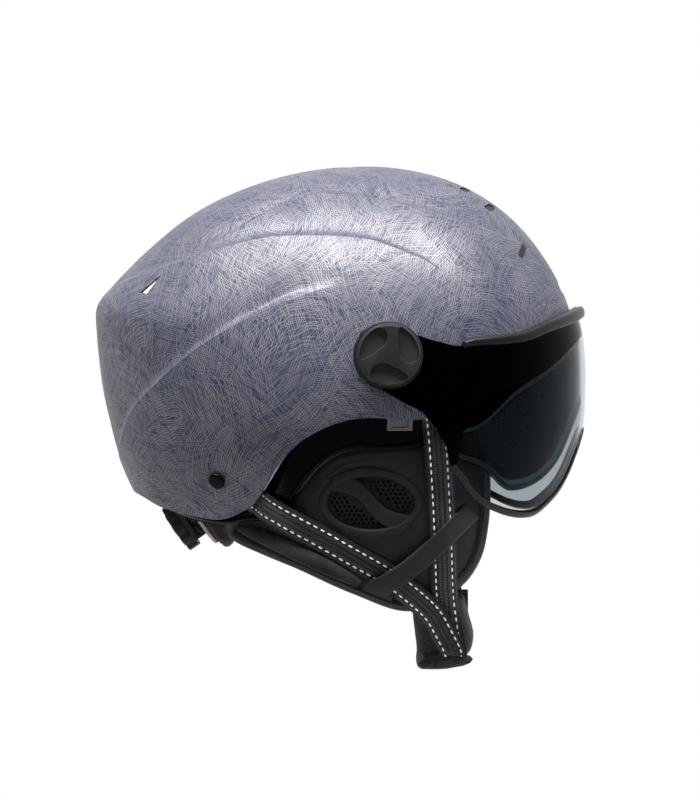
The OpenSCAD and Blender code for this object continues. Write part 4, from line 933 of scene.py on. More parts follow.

# Comfort padding
# Brushed knit over soft foam: a brow pad, a round crown pad and a pad at each side, all stuck
# to the foam liner. Each is swollen like a filled cushion.
PAD_GAP, PAD_ROWS = 1.1, 12


def swell(piece, voxel, cap, pressure=4.0):
    """Remeshes a pad and fills it: no point moves further than cap, in millimetres."""
    even = piece.modifiers.new("even", "REMESH")
    even.mode, even.voxel_size = "VOXEL", voxel / 1000
    settle(piece)
    start = np.array([v.co for v in piece.data.vertices])
    cloth = piece.modifiers.new("filling", "CLOTH")
    cloth.settings.use_pressure = True
    cloth.settings.uniform_pressure_force = pressure
    cloth.settings.effector_weights.gravity = 0
    cloth.settings.quality = 4
    cloth.point_cache.frame_start, cloth.point_cache.frame_end = 1, 20
    for step in range(1, 21):
        scene.frame_set(step)
    filled = piece.evaluated_get(bpy.context.evaluated_depsgraph_get()).to_mesh()
    end = np.array([v.co for v in filled.vertices])
    piece.modifiers.clear()
    scene.frame_set(1)
    move = end - start
    far = np.linalg.norm(move, axis=1, keepdims=True)
    move *= np.minimum(1, cap / 1000 / np.maximum(far, 1e-9))
    piece.data.vertices.foreach_set("co", (start + move).astype(np.float32).ravel())
    piece.data.update()
    soft = piece.modifiers.new("soft", "SUBSURF")
    soft.levels = soft.render_levels = 1
    settle(piece)
    smooth(piece, 80)


pile, given, result = node_group("cloth_pile", [("Place", "Vector", None), ("Size", "Float", 1.0)],
                                 [("Height", "Float"), ("Tone", "Float")])
tuft = add(pile, "ShaderNodeTexNoise", {"Vector": given["Place"], "Detail": 4.0,
           "Roughness": 0.65, "Scale": maths(pile, "DIVIDE", 1.0, given["Size"])})
patch = add(pile, "ShaderNodeTexNoise", {"Vector": given["Place"], "Scale": 0.12, "Detail": 2.0})
pile.links.new(tuft.outputs[0], result.inputs["Height"])
worn = remap(pile, patch.outputs[0], 0.3, 0.7, 0.8, 1.15)
pile.links.new(maths(pile, "MULTIPLY", tuft.outputs[0], worn), result.inputs["Tone"])


def piled(name, low, high, size, depth, sheen):
    """Knit or fleece: the tips of the pile catch more light than its roots."""
    made, tree, shader = finish_of(name, low, 0.95, Sheen_Weight=sheen, Sheen_Roughness=0.45,
                                   Specular_IOR_Level=0.15)
    texture = effect(tree, pile, Place=object_mm(tree), Size=size)
    tone = blend(tree, remap(tree, texture["Tone"], 0.35, 0.65), low, high)
    tree.links.new(tone, shader.inputs["Base Color"])
    bump(tree, shader, texture["Height"], depth)
    return made


knit = piled("brushed_knit", (0.009, 0.009, 0.0105), (0.022, 0.022, 0.025), 0.7, 0.0004, 0.1)
fleece = piled("short_fleece", (0.011, 0.0095, 0.0125), (0.038, 0.034, 0.042), 1.1, 0.0011, 0.2)


def foam_pad(name, phi0, phi1, e0, e1, thick, cols=30):
    """Crowned pad on the liner, between two turns and two elevations."""
    u = np.linspace(0, 1, cols + 1)[:, None]
    v = np.linspace(0, 1, PAD_ROWS + 1)[None]
    phi, e = phi0 + (phi1 - phi0) * u, e0 + (e1 - e0) * v
    body = thick * (0.35 + 0.65 * sind(180 * v) * sind(180 * np.clip(u, 0.06, 0.94)) ** 0.4)
    seat = foam_in(phi, e) - PAD_GAP - 0.5
    rings = np.concatenate([polar(phi, e, seat), polar(phi, e, seat - body)[:, ::-1]], 1)
    return new_mesh(name, *skin(rings))


brow = foam_pad("brow_cushion", -48, 48, 24, 40, 6.2, 60)
sides = [foam_pad("side_cushions", -112, -66, 8, 30, 5.2)]
sides.append(mirrored(sides[0], "side_cushion_left"))
turns = np.arange(72) * 5
crown_rows = [polar(turns, e, foam_in(turns, e) - PAD_GAP - 0.5) for e in (86, 80, 73, 67)]
crown_rows += [polar(turns, e, foam_in(turns, e) - PAD_GAP - 6.2 * (
    0.3 + 0.7 * np.sin(np.radians(e - 66)) / sind(24))) for e in (67, 73, 80, 86)]
crown = new_mesh("crown_cushion", *skin(crown_rows))
with bpy.context.temp_override(active_object=sides[0], selected_editable_objects=sides):
    bpy.ops.object.join()
for piece, node in [(brow, "brow_pad"), (sides[0], "side_pads"), (crown, "crown_pad")]:
    swell(piece, 3.5, 1.0)
    place(piece, "helmet", "comfort_cloth", knit, node)

# Ear pads
# A soft-touch cover with an S-shaped bar across its oval vent, black mesh behind it, and a
# fleece cushion. A padded tape binds the edge, and a soft roll lies under the rear strap.
EAR = [[66, 31], [77, 22], [78.5, 5], [77.5, -14], [73, -33], [61, -48], [36, -59], [6, -49],
       [-24, -35.5], [-46, -28], [-64, -20], [-60, -10], [-42, -4], [-26, 8], [-14, 22], [2, 31],
       [35, 34]]
EAR_MIDDLE, VENT_AT, VENT_A, VENT_B = np.array([22, -8.0]), np.array([15.5, 0]), 24, 14.5
BAR_SLOPE, BAR_HALF = -33, 3.9
SKIRT = [[-80, 65], [-63, 53.5], [-55, 46.3], [-43, 37.3], [-30, 25], [-15, 18.5], [5, 17],
         [30, 17.5], [45, 20.5], [55, 24], [63, 30], [71, 38], [80, 48]]
LEAN, LEAN_Z, BINDING_R, COVER_WALL, TUCK, EDGE_ROLL = 0.004, 10, 3.2, 2.2, 1.3, 7


def skirt(x, z):
    """Half width of the ear pad's outer face at a place in side view."""
    return SHELL_SIDE - curve(SKIRT, x) - LEAN * np.maximum(LEAN_Z - z, 0) ** 2


def route(rows, steps, loop=False):
    """Smooth route through listed rows."""
    p = np.array(rows, float)
    n = len(p)
    line = []
    for i in range(n if loop else n - 1):
        near = [(i - 1) % n, i, (i + 1) % n, (i + 2) % n] if loop else [
            max(i - 1, 0), i, i + 1, min(i + 2, n - 1)]
        a, b, c, d = p[near]
        for u in np.arange(steps) / steps:
            line.append(b + u * (c - a) / 2 + u * u * (a - 2.5 * b + 2 * c - 0.5 * d)
                        + u ** 3 * (1.5 * (b - c) + (d - a) / 2))
    return np.array(line if loop else line + [p[-1]])


def run_of(line):
    """How far along the line each of its points lies."""
    return np.concatenate([[0], np.cumsum(np.linalg.norm(np.diff(line, axis=0), axis=1))])


def even(line, count, loop=False):
    """The line as count points, evenly spaced."""
    if loop:
        line = np.vstack([line, line[:1]])
    far = run_of(line)
    at = np.linspace(0, far[-1], count + loop)[:count]
    return np.stack([np.interp(at, far, line[:, k]) for k in range(line.shape[1])], 1)


def inset(line, by):
    """A closed outline in side view, moved inwards."""
    ahead = unit(np.roll(line, -1, 0) - np.roll(line, 1, 0))
    side = np.stack([-ahead[:, 1], ahead[:, 0]], 1)
    x, y = line[:, 0], line[:, 1]
    turning = np.sign(np.sum(x * np.roll(y, -1) - np.roll(x, -1) * y))
    return line + side * turning * by


def on_side(x, z, proud):
    """Places in side view, so far out of the ear pad's outer face, on the right."""
    return np.stack([x, -skirt(x, z) - proud, z], -1)


def place_both(piece, slot, material, node):
    """A right piece and its mirror image, in place of the node's right and left one."""
    other = mirrored(piece, piece.name.replace("right", "left"))
    for made, side in [(piece, "_right"), (other, "_left")]:
        place(made, "helmet", slot, material, node + side)


ear_line = even(route(EAR, 12, True), 260, True)
edge = even(inset(ear_line, BINDING_R - TUCK), 300, True)
from_vent = edge - VENT_AT
reach_out = np.linalg.norm(from_vent, axis=1)
toward = from_vent / reach_out[:, None]
bearing = np.degrees(np.arctan2(toward[:, 1], toward[:, 0]))
vent_r = 1 / np.sqrt((toward[:, 0] / VENT_A) ** 2 + (toward[:, 1] / VENT_B) ** 2)
# The raised lip round the vent is widest where each half of it starts, at the bar's ends
lip_w = 4.6 + 1.9 * (((bearing - BAR_SLOPE - 2) % 180) / 180) ** 2
# Rows of the cover, from the vent out to the edge and back behind: how far out, and how proud
lip_end = vent_r + lip_w * 1.4
rows = [(vent_r + lip_w * share, rise) for share, rise in [
    (0, -1.6), (0.04, -0.2), (0.14, 0.55), (0.32, 1.0), (0.6, 1.15), (0.82, 1.0), (0.95, 0.5),
    (1.02, -0.25), (1.16, -0.35), (1.4, 0.0)]]
rows += [(lip_end + (reach_out - EDGE_ROLL - lip_end) * share, 0.35 * np.sin(np.pi * share))
         for share in (0.1, 0.22, 0.36, 0.5, 0.64, 0.78)]
rows += [(reach_out - before, -2.1 * (1 - before / EDGE_ROLL) ** 2.2)
         for before in (EDGE_ROLL, 5, 3.4, 2.1, 1.1, 0.4, 0)]
rows += [(r, -COVER_WALL - 0.4) for r in (reach_out, (reach_out + vent_r) / 2, vent_r)]
ring = []
for r, proud in rows:
    at = VENT_AT + toward * r[:, None]
    ring.append(on_side(at[:, 0], at[:, 1], proud))
# The bar across the vent is crowned, and its ends run in under the lip
s = np.linspace(-22, 22, 45)[:, None]
w = np.array([-1, -0.95, -0.75, -0.4, 0, 0.4, 0.75, 0.95, 1, 0.8, 0, -0.8])[None]
crown = np.array([-1.4, -0.1, 0.42, 0.62, 0.66, 0.62, 0.42, -0.1, -1.4, -2.4, -2.4, -2.4])[None]
half_w = BAR_HALF + 1.5 * (np.abs(s) / 18) ** 2
slide = w * half_w - 2.1 * np.sin(np.radians(8.5) * s)
x = VENT_AT[0] + s * cosd(BAR_SLOPE) - slide * sind(BAR_SLOPE)
z = VENT_AT[1] + s * sind(BAR_SLOPE) + slide * cosd(BAR_SLOPE)
bar = on_side(x, z, crown - 0.5 * (np.abs(s) / 22) ** 4)
soft_touch = moulded("soft_touch_grey", (0.013, 0.0138, 0.0182), 0.5, 0.6, 0.45, 0.00003)
cover = new_mesh("ear_shell_right", *together(*skin(np.stack(ring, 1), True), *skin(bar)))
smooth(cover, 42)
place_both(cover, "ear_cover", soft_touch, "ear_cover")
for side in ("right", "left"):
    dress("ear_mesh_" + side, black_matt)
dress("ear_pad_clips", moulded("clip_grey", (0.1, 0.095, 0.115), 0.3, 0.4, 0.4, 0.00003))


def tube(name, path, r_out, r_side, sides, loop=False, taper=1.0):
    """Oval tube along a path in space; its first radius is the one away from the ear."""
    n = len(path)
    t = unit(way_along(path, loop))
    v = unit(np.cross(t, (0, -1, 0.01)))
    u = np.cross(v, t)
    ends = 1.0 if loop else taper + (1 - taper) * np.sqrt(np.sin(np.pi * (np.arange(n) + 0.3) / n))
    turns = np.arange(sides) * 360 / sides
    ends = np.broadcast_to(ends, n)[:, None, None]
    rings = (path[:, None] + ends * r_out * cosd(turns)[None, :, None] * u[:, None]
             + ends * r_side * sind(turns)[None, :, None] * v[:, None])
    along = run_of(path)
    cloth = np.stack(np.broadcast_arrays((turns * (r_out + r_side) * np.pi / 360)[None],
                                         along[:, None]), -1).reshape(-1, 2)
    points, faces = skin(rings, loop)
    if not loop:
        cloth = np.vstack([cloth, [0, 0], [0, along[-1]]])
    made = new_mesh(name, points, faces, cloth)
    smooth(made, 60)
    return made


# Woven tape: diagonal ribs across the run, from each point's place on the cloth
weave, given, result = node_group("woven_ribs", [
    ("Across", "Float", 0), ("Along", "Float", 0), ("Pitch", "Float", 1.0),
    ("Slant", "Float", 0.5)], [("Height", "Float")])
swayed = maths(weave, "ADD", given["Along"], maths(weave, "MULTIPLY", given["Across"],
               given["Slant"]))
wave = maths(weave, "SINE", maths(weave, "MULTIPLY", maths(weave, "DIVIDE", swayed,
             given["Pitch"]), 2 * np.pi))
cross = maths(weave, "SINE", maths(weave, "MULTIPLY", maths(weave, "DIVIDE", given["Across"],
              maths(weave, "MULTIPLY", given["Pitch"], 0.7)), 2 * np.pi))
weave.links.new(maths(weave, "ADD", wave, maths(weave, "MULTIPLY", cross, 0.4)),
                result.inputs["Height"])


def cloth_place(tree):
    """Each point's place on its cloth, across and along, in millimetres."""
    mark = add(tree, "ShaderNodeAttribute", attribute_name="cloth").outputs["Vector"]
    return add(tree, "ShaderNodeSeparateXYZ", {0: mark}).outputs


def ribs_of(tree, pitch, slant):
    """Height of woven ribs on the piece's cloth."""
    across, along = cloth_place(tree)[:2]
    return effect(tree, weave, Across=across, Along=along, Pitch=pitch, Slant=slant)["Height"]


def woven(name, low, high, pitch, slant, depth):
    made, tree, shader = finish_of(name, low, 0.8, Sheen_Weight=0.2, Sheen_Roughness=0.4,
                                   Specular_IOR_Level=0.15)
    ribs = ribs_of(tree, pitch, slant)
    # Painted light and shade: the ribs' crests are coloured lighter and their hollows darker
    tree.links.new(blend(tree, remap(tree, ribs, -1.0, 1.0), low, high),
                   shader.inputs["Base Color"])
    bump(tree, shader, ribs, depth)
    return made


tape = woven("edge_tape", (0.012, 0.011, 0.013), (0.032, 0.03, 0.034), 1.3, 0.6, 0.00015)
ear_mid = on_side(ear_line[:, 0], ear_line[:, 1], -4.2)
NECK_ROLL = [[-60, -16], [-46, -20.8], [-30, -26.6], [-14, -33.6], [0, -40.6], [9, -45.4]]
roll = even(route(NECK_ROLL, 12), 70)
place_both(tube("ear_tape_right", ear_mid, 5, BINDING_R, 16, True), "binding", tape,
           "ear_binding")
place_both(tube("soft_roll_right", on_side(roll[:, 0], roll[:, 1], 4), 3, 4.5, 20, taper=0.35),
           "binding", knit, "neck_roll")

cushion_line = even(inset(ear_line, BINDING_R - TUCK), 150, True)
shares = np.array([0.04, 0.2, 0.36, 0.52, 0.68, 0.82, 0.92, 0.98, 1.0])


def cushion_ring(s, back):
    """A ring of the cushion, on its hollow outer side or its full side towards the ear."""
    at = EAR_MIDDLE + s * (cushion_line - EAR_MIDDLE)
    full = 4 + 10.6 * np.sqrt(1 - s ** 4) * (0.9 + 0.25 * s)
    hollow = 0.7 + 8.4 * (1 - s * s)
    return on_side(at[:, 0], at[:, 1], -COVER_WALL - (full if back else hollow))


cushion = new_mesh("ear_cushion_right", *skin(
    [cushion_ring(s, False) for s in shares] + [cushion_ring(s, True) for s in shares[::-1]]))
swell(cushion, 3.5, 1.2)
place_both(cushion, "fleece", fleece, "ear_pad")

# Webbing
# Black webbing, 15 mm wide, runs from the brow and from the nape past each ear. Its middle is
# corded, and a row of pale reflective stitches runs near each edge.
WEB_W, WEB_T, STRAP_GAP, STITCH_AT, WEB_STEPS = 15, 1.5, 0.55, 4.55, 12
STITCH_PITCH, STITCH_SIZE, LANE = 4.4, (1.45, 0.5, 0.3), 2.7
KEEPER_W, KEEPER_T, KEEPER_RISE = 11.4, 2, [[0, 0.3], [0.6, 0.2], [0.85, -0.05], [1, -0.8]]
FRONT_TOP = [[49, 67, 0, 1], [50, 56, 0, 1], [51, 48.5, 0, 1], [52.7, 31, 8.3, 0],
             [53.8, 13, 3.2, 0], [54.9, -9, 2.6, 0], [55.7, -31, 2.8, 0], [56.4, -53, 2.9, 0]]
FRONT_END = {"right": [[58.6, -72, 5.6, -1], [60.9, -84.6, 13.4, -1],
                       [61.2, -88.4, 14.3, -1]],
             "left": [[56.9, -57.5, 3.4, -1], [57.1, -61.5, 4.6, -1]]}
REAR_TOP = [[-80, 18, 0, 1], [-70, 12, 0, 1], [-61, 6.5, 0, 1], [-51, 1, 0, 1],
            [-43, -3.5, 12.4, 0], [-30, -10.5, 7.6, 0], [-14, -19, 2.8, 0], [5, -30, 2.6, 0],
            [23, -40.5, 3, 0], [35, -49.5, 4.7, 0]]
REAR_END = {"right": [[48.5, -62.5, 5.2, -0.5], [55.6, -75, 9.6, -1], [60.4, -85, 16, -1],
                      [60.9, -88.6, 16.6, -1]],
            "left": [[44.5, -55, 5, -0.5], [54, -61, 5.8, -1], [56.9, -64, 8.9, -1],
                     [57.5, -67.2, 11.7, -1]]}
KEEPER = [[18.4, -52, 6.6, 0], [20.4, -48, 7.6, 0], [26, -43.9, 8.4, 0], [34.2, -38.8, 7.4, 0],
          [46, -29.2, 5.4, 0], [58, -18.3, 5, 0], [67.3, -9.5, 3.6, 0], [71.8, -5.4, 1.6, 0]]


def under_shell(x, z):
    """Half width at which the webbing lies between the shell and the foam."""
    y = side_y(x, z)
    slant = np.sqrt(1 + (side_y(x + 1, z) - y) ** 2 + (side_y(x, z + 1) - y) ** 2)
    return y - (SHELL_WALL + STRAP_GAP) * slant


def web_y(x, z, p):
    """Half width of the webbing's outer face; a row's last value says what it lies on."""
    hidden = np.clip(p[:, 3:4] * 1.1 - 0.1, 0, 1)
    flat = np.clip(-p[:, 3:4] * 1.1 - 0.1, 0, 1)
    lying = (1 - flat) * skirt(x, z) + flat * skirt(p[:, 0:1], z) + p[:, 2:3]
    return hidden * under_shell(x, z) + (1 - hidden) * lying


def web_line(rows, offset, rise):
    """Points along the webbing at each offset from its middle, and how far along they are."""
    p = route(rows, WEB_STEPS)
    ahead = np.gradient(p[:, :2], axis=0)
    side = unit(np.stack([ahead[:, 1], -ahead[:, 0]], 1))
    x = p[:, 0:1] + offset * side[:, 0:1]
    z = p[:, 1:2] + offset * side[:, 1:2]
    return np.stack([x, -web_y(x, z, p) - rise, z], -1), run_of(p[:, :2])


def webbing(name, rows, width, thick, rise, flare=None):
    """Band with a shaped section: rise is the profile of its outer face against the middle."""
    share = np.linspace(-1, 1, 23)
    half = width / 2 * (1 if flare is None else flare[:, None])
    outer, run = web_line(rows, share[None] * half, curve(rise, np.abs(share))[None])
    inner, _ = web_line(rows, share[None, ::-1] * half * 0.985, -thick + 0.25 * share[None] ** 8)
    place_on = np.stack(np.broadcast_arrays(share[None] * half, run[:, None]), -1)
    cloth = np.concatenate([place_on, place_on[:, ::-1]], 1).reshape(-1, 2)
    points, faces = skin(np.concatenate([outer, inner], 1))
    made = new_mesh(name, points, faces, np.vstack([cloth, cloth[:1], cloth[-1:]]))
    smooth(made, 60)
    return made


# A row of like pieces along a line: each is a ball, stretched, that lies along the line
row = bpy.data.node_groups.new("row_along_line", "GeometryNodeTree")
row.is_modifier = True
for key, kind in [("Line", "Geometry"), ("Spacing", "Float"), ("Size", "Vector"),
                  ("Finish", "Material")]:
    row.interface.new_socket(key, in_out="INPUT", socket_type="NodeSocket" + kind)
row.interface.new_socket("Row", in_out="OUTPUT", socket_type="NodeSocketGeometry")
given = add(row, "NodeGroupInput").outputs
line = add(row, "GeometryNodeMeshToCurve", {"Mesh": given["Line"]})
spaced = add(row, "GeometryNodeResampleCurve", {"Curve": line.outputs[0],
             "Length": given["Spacing"]}, mode="LENGTH")
lying = add(row, "FunctionNodeAlignRotationToVector", {
    "Vector": add(row, "GeometryNodeInputTangent").outputs[0]}, axis="X")
up = add(row, "GeometryNodeInputNamedAttribute", {"Name": "up"}, data_type="FLOAT_VECTOR")
facing = add(row, "FunctionNodeAlignRotationToVector", {"Rotation": lying.outputs[0],
             "Vector": up.outputs[0]}, axis="Z", pivot_axis="X")
ball = add(row, "GeometryNodeMeshUVSphere", {"Segments": 10, "Rings": 6, "Radius": 0.001})
copies = add(row, "GeometryNodeInstanceOnPoints", {
    "Points": spaced.outputs[0], "Instance": ball.outputs[0], "Rotation": facing.outputs[0],
    "Scale": given["Size"]})
real = add(row, "GeometryNodeRealizeInstances", {0: copies.outputs[0]})
rounded = add(row, "GeometryNodeSetShadeSmooth", {"Geometry": real.outputs[0]})
dressed = add(row, "GeometryNodeSetMaterial", {"Geometry": rounded.outputs[0],
              "Material": given["Finish"]})
add(row, "NodeGroupOutput", {0: dressed.outputs[0]})


def row_along(name, lines, spacing, size, material):
    """Piece made of stretched balls along lines; a line is its points and the way out of it."""
    points, edges, ups = [], [], []
    for at, out_way in lines:
        edges += [(len(points) + k, len(points) + k + 1) for k in range(len(at) - 1)]
        points += list(np.asarray(at) / 1000)
        ups += list(out_way)
    mesh = bpy.data.meshes.new(name)
    mesh.from_pydata(np.array(points).tolist(), edges, [])
    layer = mesh.attributes.new("up", "FLOAT_VECTOR", "POINT")
    layer.data.foreach_set("vector", np.array(ups, np.float32).ravel())
    piece = linked(name, mesh)
    repeat = piece.modifiers.new("repeat", "NODES")
    repeat.node_group = row
    for item in row.interface.items_tree:
        if item.in_out == "INPUT" and item.name != "Line":
            repeat[item.identifier] = {"Spacing": spacing / 1000, "Size": size,
                                       "Finish": material}[item.name]
    mesh.update()
    settle(piece)
    return piece


corded, tree, shader = finish_of("corded_webbing", (0.012, 0.012, 0.015), 0.72,
                                 Sheen_Weight=0.25, Sheen_Roughness=0.4,
                                 Specular_IOR_Level=0.15)
across = cloth_place(tree)[0]
middle = remap(tree, maths(tree, "ABSOLUTE", across), 2.6, 3.4, 1.0, 0.0)
height = add(tree, "ShaderNodeMix", {0: middle, 2: ribs_of(tree, 1.15, 0.9),
             3: ribs_of(tree, 0.9, 0.0)}, data_type="FLOAT").outputs[0]
# Painted shade darkens the gaps that part the lanes of cord, and the hollows between its ribs
lane = remap(tree, maths(tree, "COSINE", maths(tree, "MULTIPLY", across, 2 * np.pi / LANE)),
             -1.0, 0.1)
ribbed = remap(tree, height, -0.9, 1.0)
tone = blend(tree, maths(tree, "MULTIPLY", lane, ribbed), (0.0035, 0.0035, 0.0045),
             (0.042, 0.044, 0.053))
tree.links.new(tone, shader.inputs["Base Color"])
bump(tree, shader, maths(tree, "ADD", height, maths(tree, "MULTIPLY", 2.5, lane)), 0.00018)
thread = finish_of("reflective_thread", (0.82, 0.82, 0.8), 0.45, Sheen_Weight=0.2)[0]

WEB_RISE = [[0, 0.3], [0.16, 0.22], [0.24, 0.34], [0.4, 0.26], [0.5, 0.02], [0.62, -0.12],
            [0.74, 0.1], [0.9, 0.12], [1, -0.5]]


def stitch_lines(rows, first):
    """The two stitch lines of a strap, from the row where it comes out of the shell."""
    lines = []
    shown = slice(first * WEB_STEPS, None)
    for off in (-STITCH_AT, STITCH_AT):
        at = web_line(rows, np.array([[off]]), -0.06)[0][shown, 0]
        beside = web_line(rows, np.array([[off + 0.5]]), 0)[0][shown, 0]
        out_way = unit(np.cross(np.gradient(at, axis=0), beside - at))
        out_way *= -np.sign(out_way[:, 1:2])
        lines.append((at[1:-2], out_way[1:-2]))
    return lines


for side in ("right", "left"):
    turn_over = 1 if side == "right" else -1
    seams = []
    for node, rows, first in [("strap_front_", FRONT_TOP + FRONT_END[side], 2),
                              ("strap_rear_", REAR_TOP + REAR_END[side], 3)]:
        strap = webbing(node.replace("strap", "web") + side, rows, WEB_W, WEB_T, WEB_RISE)
        seams += stitch_lines(rows, first)
        if turn_over < 0:
            flip(strap.data)
        place(strap, "helmet", "webbing", corded, node + side)
    seams = [(at * [1, turn_over, 1], out_way * [1, turn_over, 1]) for at, out_way in seams]
    stitches = row_along("strap_stitches_" + side, seams, STITCH_PITCH, STITCH_SIZE, thread)
    place(stitches, "helmet", "webbing", thread)

leather, tree, shader = finish_of("keeper_leather", (0.016, 0.0155, 0.0185), 0.42,
                                  Specular_IOR_Level=0.2)
hide = add(tree, "ShaderNodeTexVoronoi", {"Vector": object_mm(tree), "Scale": 1.1},
           feature="DISTANCE_TO_EDGE")
bump(tree, shader, hide.outputs["Distance"], 0.0001)
# The keeper is widest at its rear end, where it is sewn to the rear strap
from_rear = np.linspace(0, 1, len(route(KEEPER, WEB_STEPS)))
keeper = webbing("ear_keeper_right", KEEPER, KEEPER_W, KEEPER_T, KEEPER_RISE,
                 1 + 0.6 * (1 - ease(0, 0.24, from_rear)))
place_both(keeper, "keeper_leather", leather, "keeper")

# Chin strap
# Webbing folded through the right straps' end runs under the chin, in a fleece channel, to the
# buckle on the left. The buckle has a centre release with a red button.
BUCKLE_LEAN, TONGUE_DROP, FOLD_R = -6, 24, 1.2
CHIN_PAD_HALF, CHIN_LIFT, CHIN_TILT = 17, 4, 18
buckle_at = np.array([57.5, float(skirt(57.5, -66)) + 9.4, -66])
tongue_end = buckle_at + TONGUE_DROP * np.array([0, -sind(BUCKLE_LEAN), -cosd(BUCKLE_LEAN)])
fold_at = np.array([61.2, -float(skirt(61.5, -88)) - 14.6, -88.6])
CHIN = [fold_at + [0, 0.6, -0.5], [60.2, -48, -91.4], [58.5, -36, -95.6], [56.5, -22, -98.2],
        [54.5, -6, -99.6], [54, 10, -99.8], [54.8, 30, -99.4], [56, 50, -97.6], [57, 66, -93.8],
        tongue_end + [0, 0, -0.9]]
CHIN_PAD = [[52, -60.5, -60.4], [54, -56, -71.1], [55.5, -52.8, -80], [56, -45.6, -89.6],
            [55.5, -32, -95.8], [54.5, -10, -98.7], [54, 12, -99], [55, 32, -98.5]]
ROLL_AT, ROLL_HALF, ROLL_R, ROLL_RISE = (56.5, -56.3, -91.6), 16, 4.2, 1.7
PAD_HALF = [[0, -3.4], [0.6, -3], [0.92, -0.5], [1, 5], [0.97, 10], [0.8, 11], [0.72, 9],
            [0.66, 3.4], [0.5, 1.9], [0, 1.8]]


def tilted(line):
    """The line lifted under the chin, and the way across it, which rises to the front."""
    y = line[:, 1]
    line = line + CHIN_LIFT * (ease(-56, -38, y) - ease(20, 60, y))[:, None] * np.array([0, 0, 1])
    lean = CHIN_TILT * (1 - ease(20, 60, y))
    return line, np.stack([cosd(lean), 0 * y, sind(lean)], 1)


def sweep(name, line, section, across):
    """Section swept along a line; a section point is across, and up to the wearer."""
    ahead = np.gradient(line, axis=0)
    up = unit(np.cross([1, 0, 0], unit(ahead)))
    rings = line[:, None] + section[..., 0:1] * across[:, None] + section[..., 1:2] * up[:, None]
    cloth = np.stack(np.broadcast_arrays(section[..., 0], run_of(line)[:, None]), -1)
    cloth = cloth.reshape(-1, 2)
    return new_mesh(name, *skin(rings), np.vstack([cloth, cloth[:1], cloth[-1:]]))


chin_line, chin_across = tilted(route(CHIN, 12))
share = np.linspace(-1, 1, 17)
thick = WEB_T / 2 * (1 - 0.5 * np.abs(share) ** 8)
section = np.concatenate([np.stack([share * WEB_W / 2, -thick], 1),
                          np.stack([share[::-1] * WEB_W / 2, thick], 1)])
chin = sweep("chin_web", chin_line, np.broadcast_to(section, (len(chin_line), *section.shape)),
             chin_across)
at_fold = Matrix.Translation(fold_at) @ Matrix.Rotation(np.radians(90 - CHIN_TILT), 4, "Y")
carve(chin, solid("fold", cylinder(FOLD_R, -WEB_W / 2, WEB_W / 2, 32), at_fold), "UNION")
smooth(chin, 60)
place(chin, "chin", "webbing", corded, "chin_strap")
down = -unit(np.cross([1, 0, 0], unit(np.gradient(chin_line, axis=0))))
shown = slice(2, -3)
lines = [((chin_line + off * chin_across + down * WEB_T / 2)[shown], down[shown])
         for off in (-STITCH_AT, STITCH_AT)]
chin_seam = row_along("chin_stitches", lines, STITCH_PITCH, STITCH_SIZE, thread)
place(chin_seam, "chin", "webbing", thread)

pad_line, pad_across = tilted(route(CHIN_PAD, 10))
half = even(route(PAD_HALF, 4), 30)
full = np.vstack([half, (half * [-1, 1])[-2:0:-1]])
size = 0.88 + 0.12 * sind(180 * np.linspace(0, 1, len(pad_line)))
channel = sweep("chin_channel", pad_line, np.stack([
    full * [CHIN_PAD_HALF * k, 1] for k in size]), pad_across)
# The fleece is rolled round the fold, about which the chin strap swings
u, turns = np.linspace(-0.97, 0.97, 13)[:, None], np.arange(20) * 18
girth = ROLL_R * (1 - u ** 2) ** 0.35
rolled = new_mesh("chin_roll", *skin(np.stack(np.broadcast_arrays(
    ROLL_AT[0] + ROLL_HALF * u, ROLL_AT[1] + girth * cosd(turns),
    ROLL_AT[2] + ROLL_RISE * u + girth * sind(turns)), -1)))
with bpy.context.temp_override(active_object=channel, selected_editable_objects=[channel, rolled]):
    bpy.ops.object.join()
swell(channel, 1.8, 0.9, 2.5)
place(channel, "chin", "fleece", fleece, "chin_pad")
buckle_black = moulded("buckle_black", (0.014, 0.014, 0.015), 0.32, 0.42, 0.4, 0.00004)
finished_copy("buckle_receiver", "buckle_body", 0.5, 2, slot="buckle", material=buckle_black)
finished_copy("buckle_tongue", "buckle_prong", 0.6, 2, body="chin", slot="buckle",
              material=buckle_black)
finished_copy("release_button", "buckle_button", 0.5, 2, body="button", slot="button_red",
              material=moulded("button_red", (0.42, 0.015, 0.012), 0.2, 0.28, 3, 0.00002))

# Size adjuster
# Two toothed bands run from behind the ears to a housing at the nape, where a dial's pinion
# draws them together. A milky cradle hangs there, with a fleece pad inside and a ribbed knit
# band above it.
DIAL_LEAN, CRADLE_Z, RIB_PITCH, RIB_SIZE, RIB_LEVEL = 35, -10.6, 2.3, (0.95, 4.4, 0.55), 0.46
dial_at = np.array([-96, 0, -17])


def nape_point(p):
    p = np.asarray(p, float)
    lean, away = sind(DIAL_LEAN), cosd(DIAL_LEAN)
    return dial_at + np.stack([-p[..., 0] * lean - p[..., 2] * away, p[..., 1],
                               p[..., 0] * away - p[..., 2] * lean], -1)


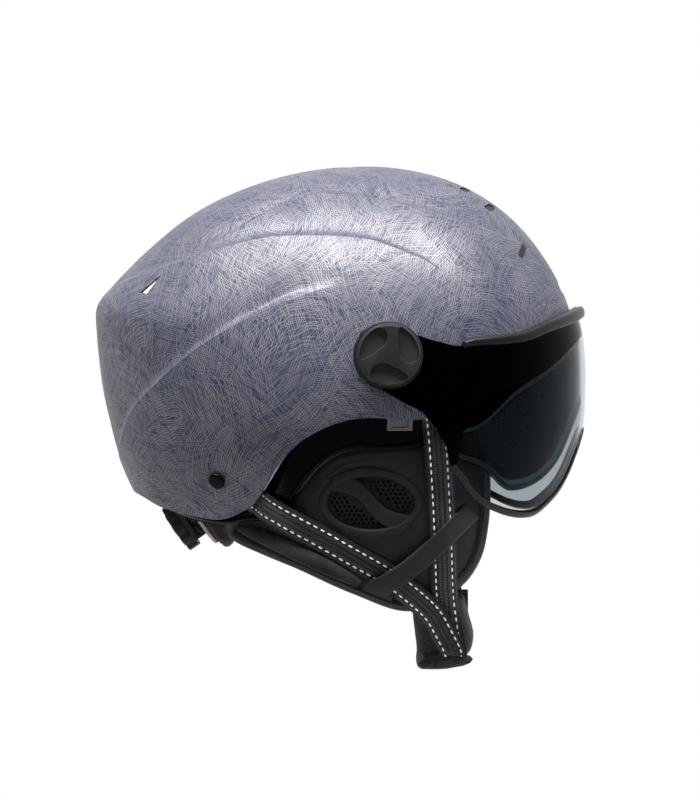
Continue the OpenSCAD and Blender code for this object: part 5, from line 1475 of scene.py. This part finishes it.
adjuster = moulded("adjuster_black", (0.016, 0.016, 0.017), 0.4, 0.5, 0.4, 0.00004)
finished_copy("dial_housing", "adjuster_housing", 0.8, 2, slot="adjuster", material=adjuster)
finished_copy("fit_dial", "adjuster_dial", 0.5, 2, body="dial", slot="adjuster",
              material=adjuster)
dress("dial_pinion", moulded("natural_nylon", (0.6, 0.6, 0.56), 0.4, 0.5, 0.8, 0.00002))
for side in ("right", "left"):
    dress("band_" + side, adjuster)
milky = moulded("milky_plastic", (0.5, 0.43, 0.42), 0.22, 0.32, 3, 0.00004,
                Transmission_Weight=0.35)
finished_copy("nape_cradle", "adjuster_cradle", 0.8, 3, slot="cradle_milky", material=milky)

outline = even(route([[13, 0], [9, 20], [-10, 23.5], [-24, 18], [-26, 0], [-24, -18],
                      [-10, -23.5], [9, -20]], 8, True), 96, True)
levels = [(0.05, -0.5), (0.5, -0.5), (0.9, -0.5), (0.98, -1.6), (1, -3), (0.96, -6),
          (0.86, -7.9), (0.7, -9), (0.4, -9.6), (0.05, -9.7)]
lump = new_mesh("nape_cushion", *skin([nape_point(np.stack([
    -4 + s * (outline[:, 0] + 4), s * outline[:, 1], 0 * outline[:, 0] + CRADLE_Z + z], 1))
    for s, z in levels]))
swell(lump, 2.5, 0.8)
place(lump, "helmet", "fleece", fleece, "nape_pad")

turns = np.linspace(147, 213, 100)
rim = rim_e(turns)
band_r = shell_r(turns, rim) - TRIM_INSET - TRIM_WALL - 0.6
low = curve(DROP, turned(turns)) + 3.5


def band_point(depth, down):
    """A place on the band: so far in from its outer face and down from the trim's top."""
    down = np.broadcast_to(down, turns.shape)
    lean = TRIM_LEAN * np.maximum(down, 0)
    return polar(turns, rim, band_r - depth) - np.stack(
        [lean * cosd(turns), lean * sind(turns), down], 1)


profile = [band_point(0, d) for d in (-6, -3, 0)]
profile += [band_point(depth, low * share) for depth, share in [
    (0, 0.3), (0, 0.6), (0, 0.85), (0.3, 0.96), (1.1, 1.0), (1.9, 0.96), (2.2, 0.85), (2.2, 0.4)]]
profile += [band_point(2.2, d) for d in (0, -3, -6)]
band = new_mesh("nape_knit", *skin(np.stack(profile, 1)))
smooth(band, 60)
place(band, "helmet", "ribbed_textile", knit, "nape_band")
fine = np.linspace(148, 212, 200)
middle = band_point(0.15, low * RIB_LEVEL)
rib_line = np.stack([np.interp(fine, turns, middle[:, k]) for k in range(3)], 1)
out_way = np.stack([cosd(fine), sind(fine), 0 * fine], 1)
ribs = row_along("nape_ribs", [(rib_line, out_way)], RIB_PITCH, RIB_SIZE, knit)
place(ribs, "helmet", "ribbed_textile", knit)
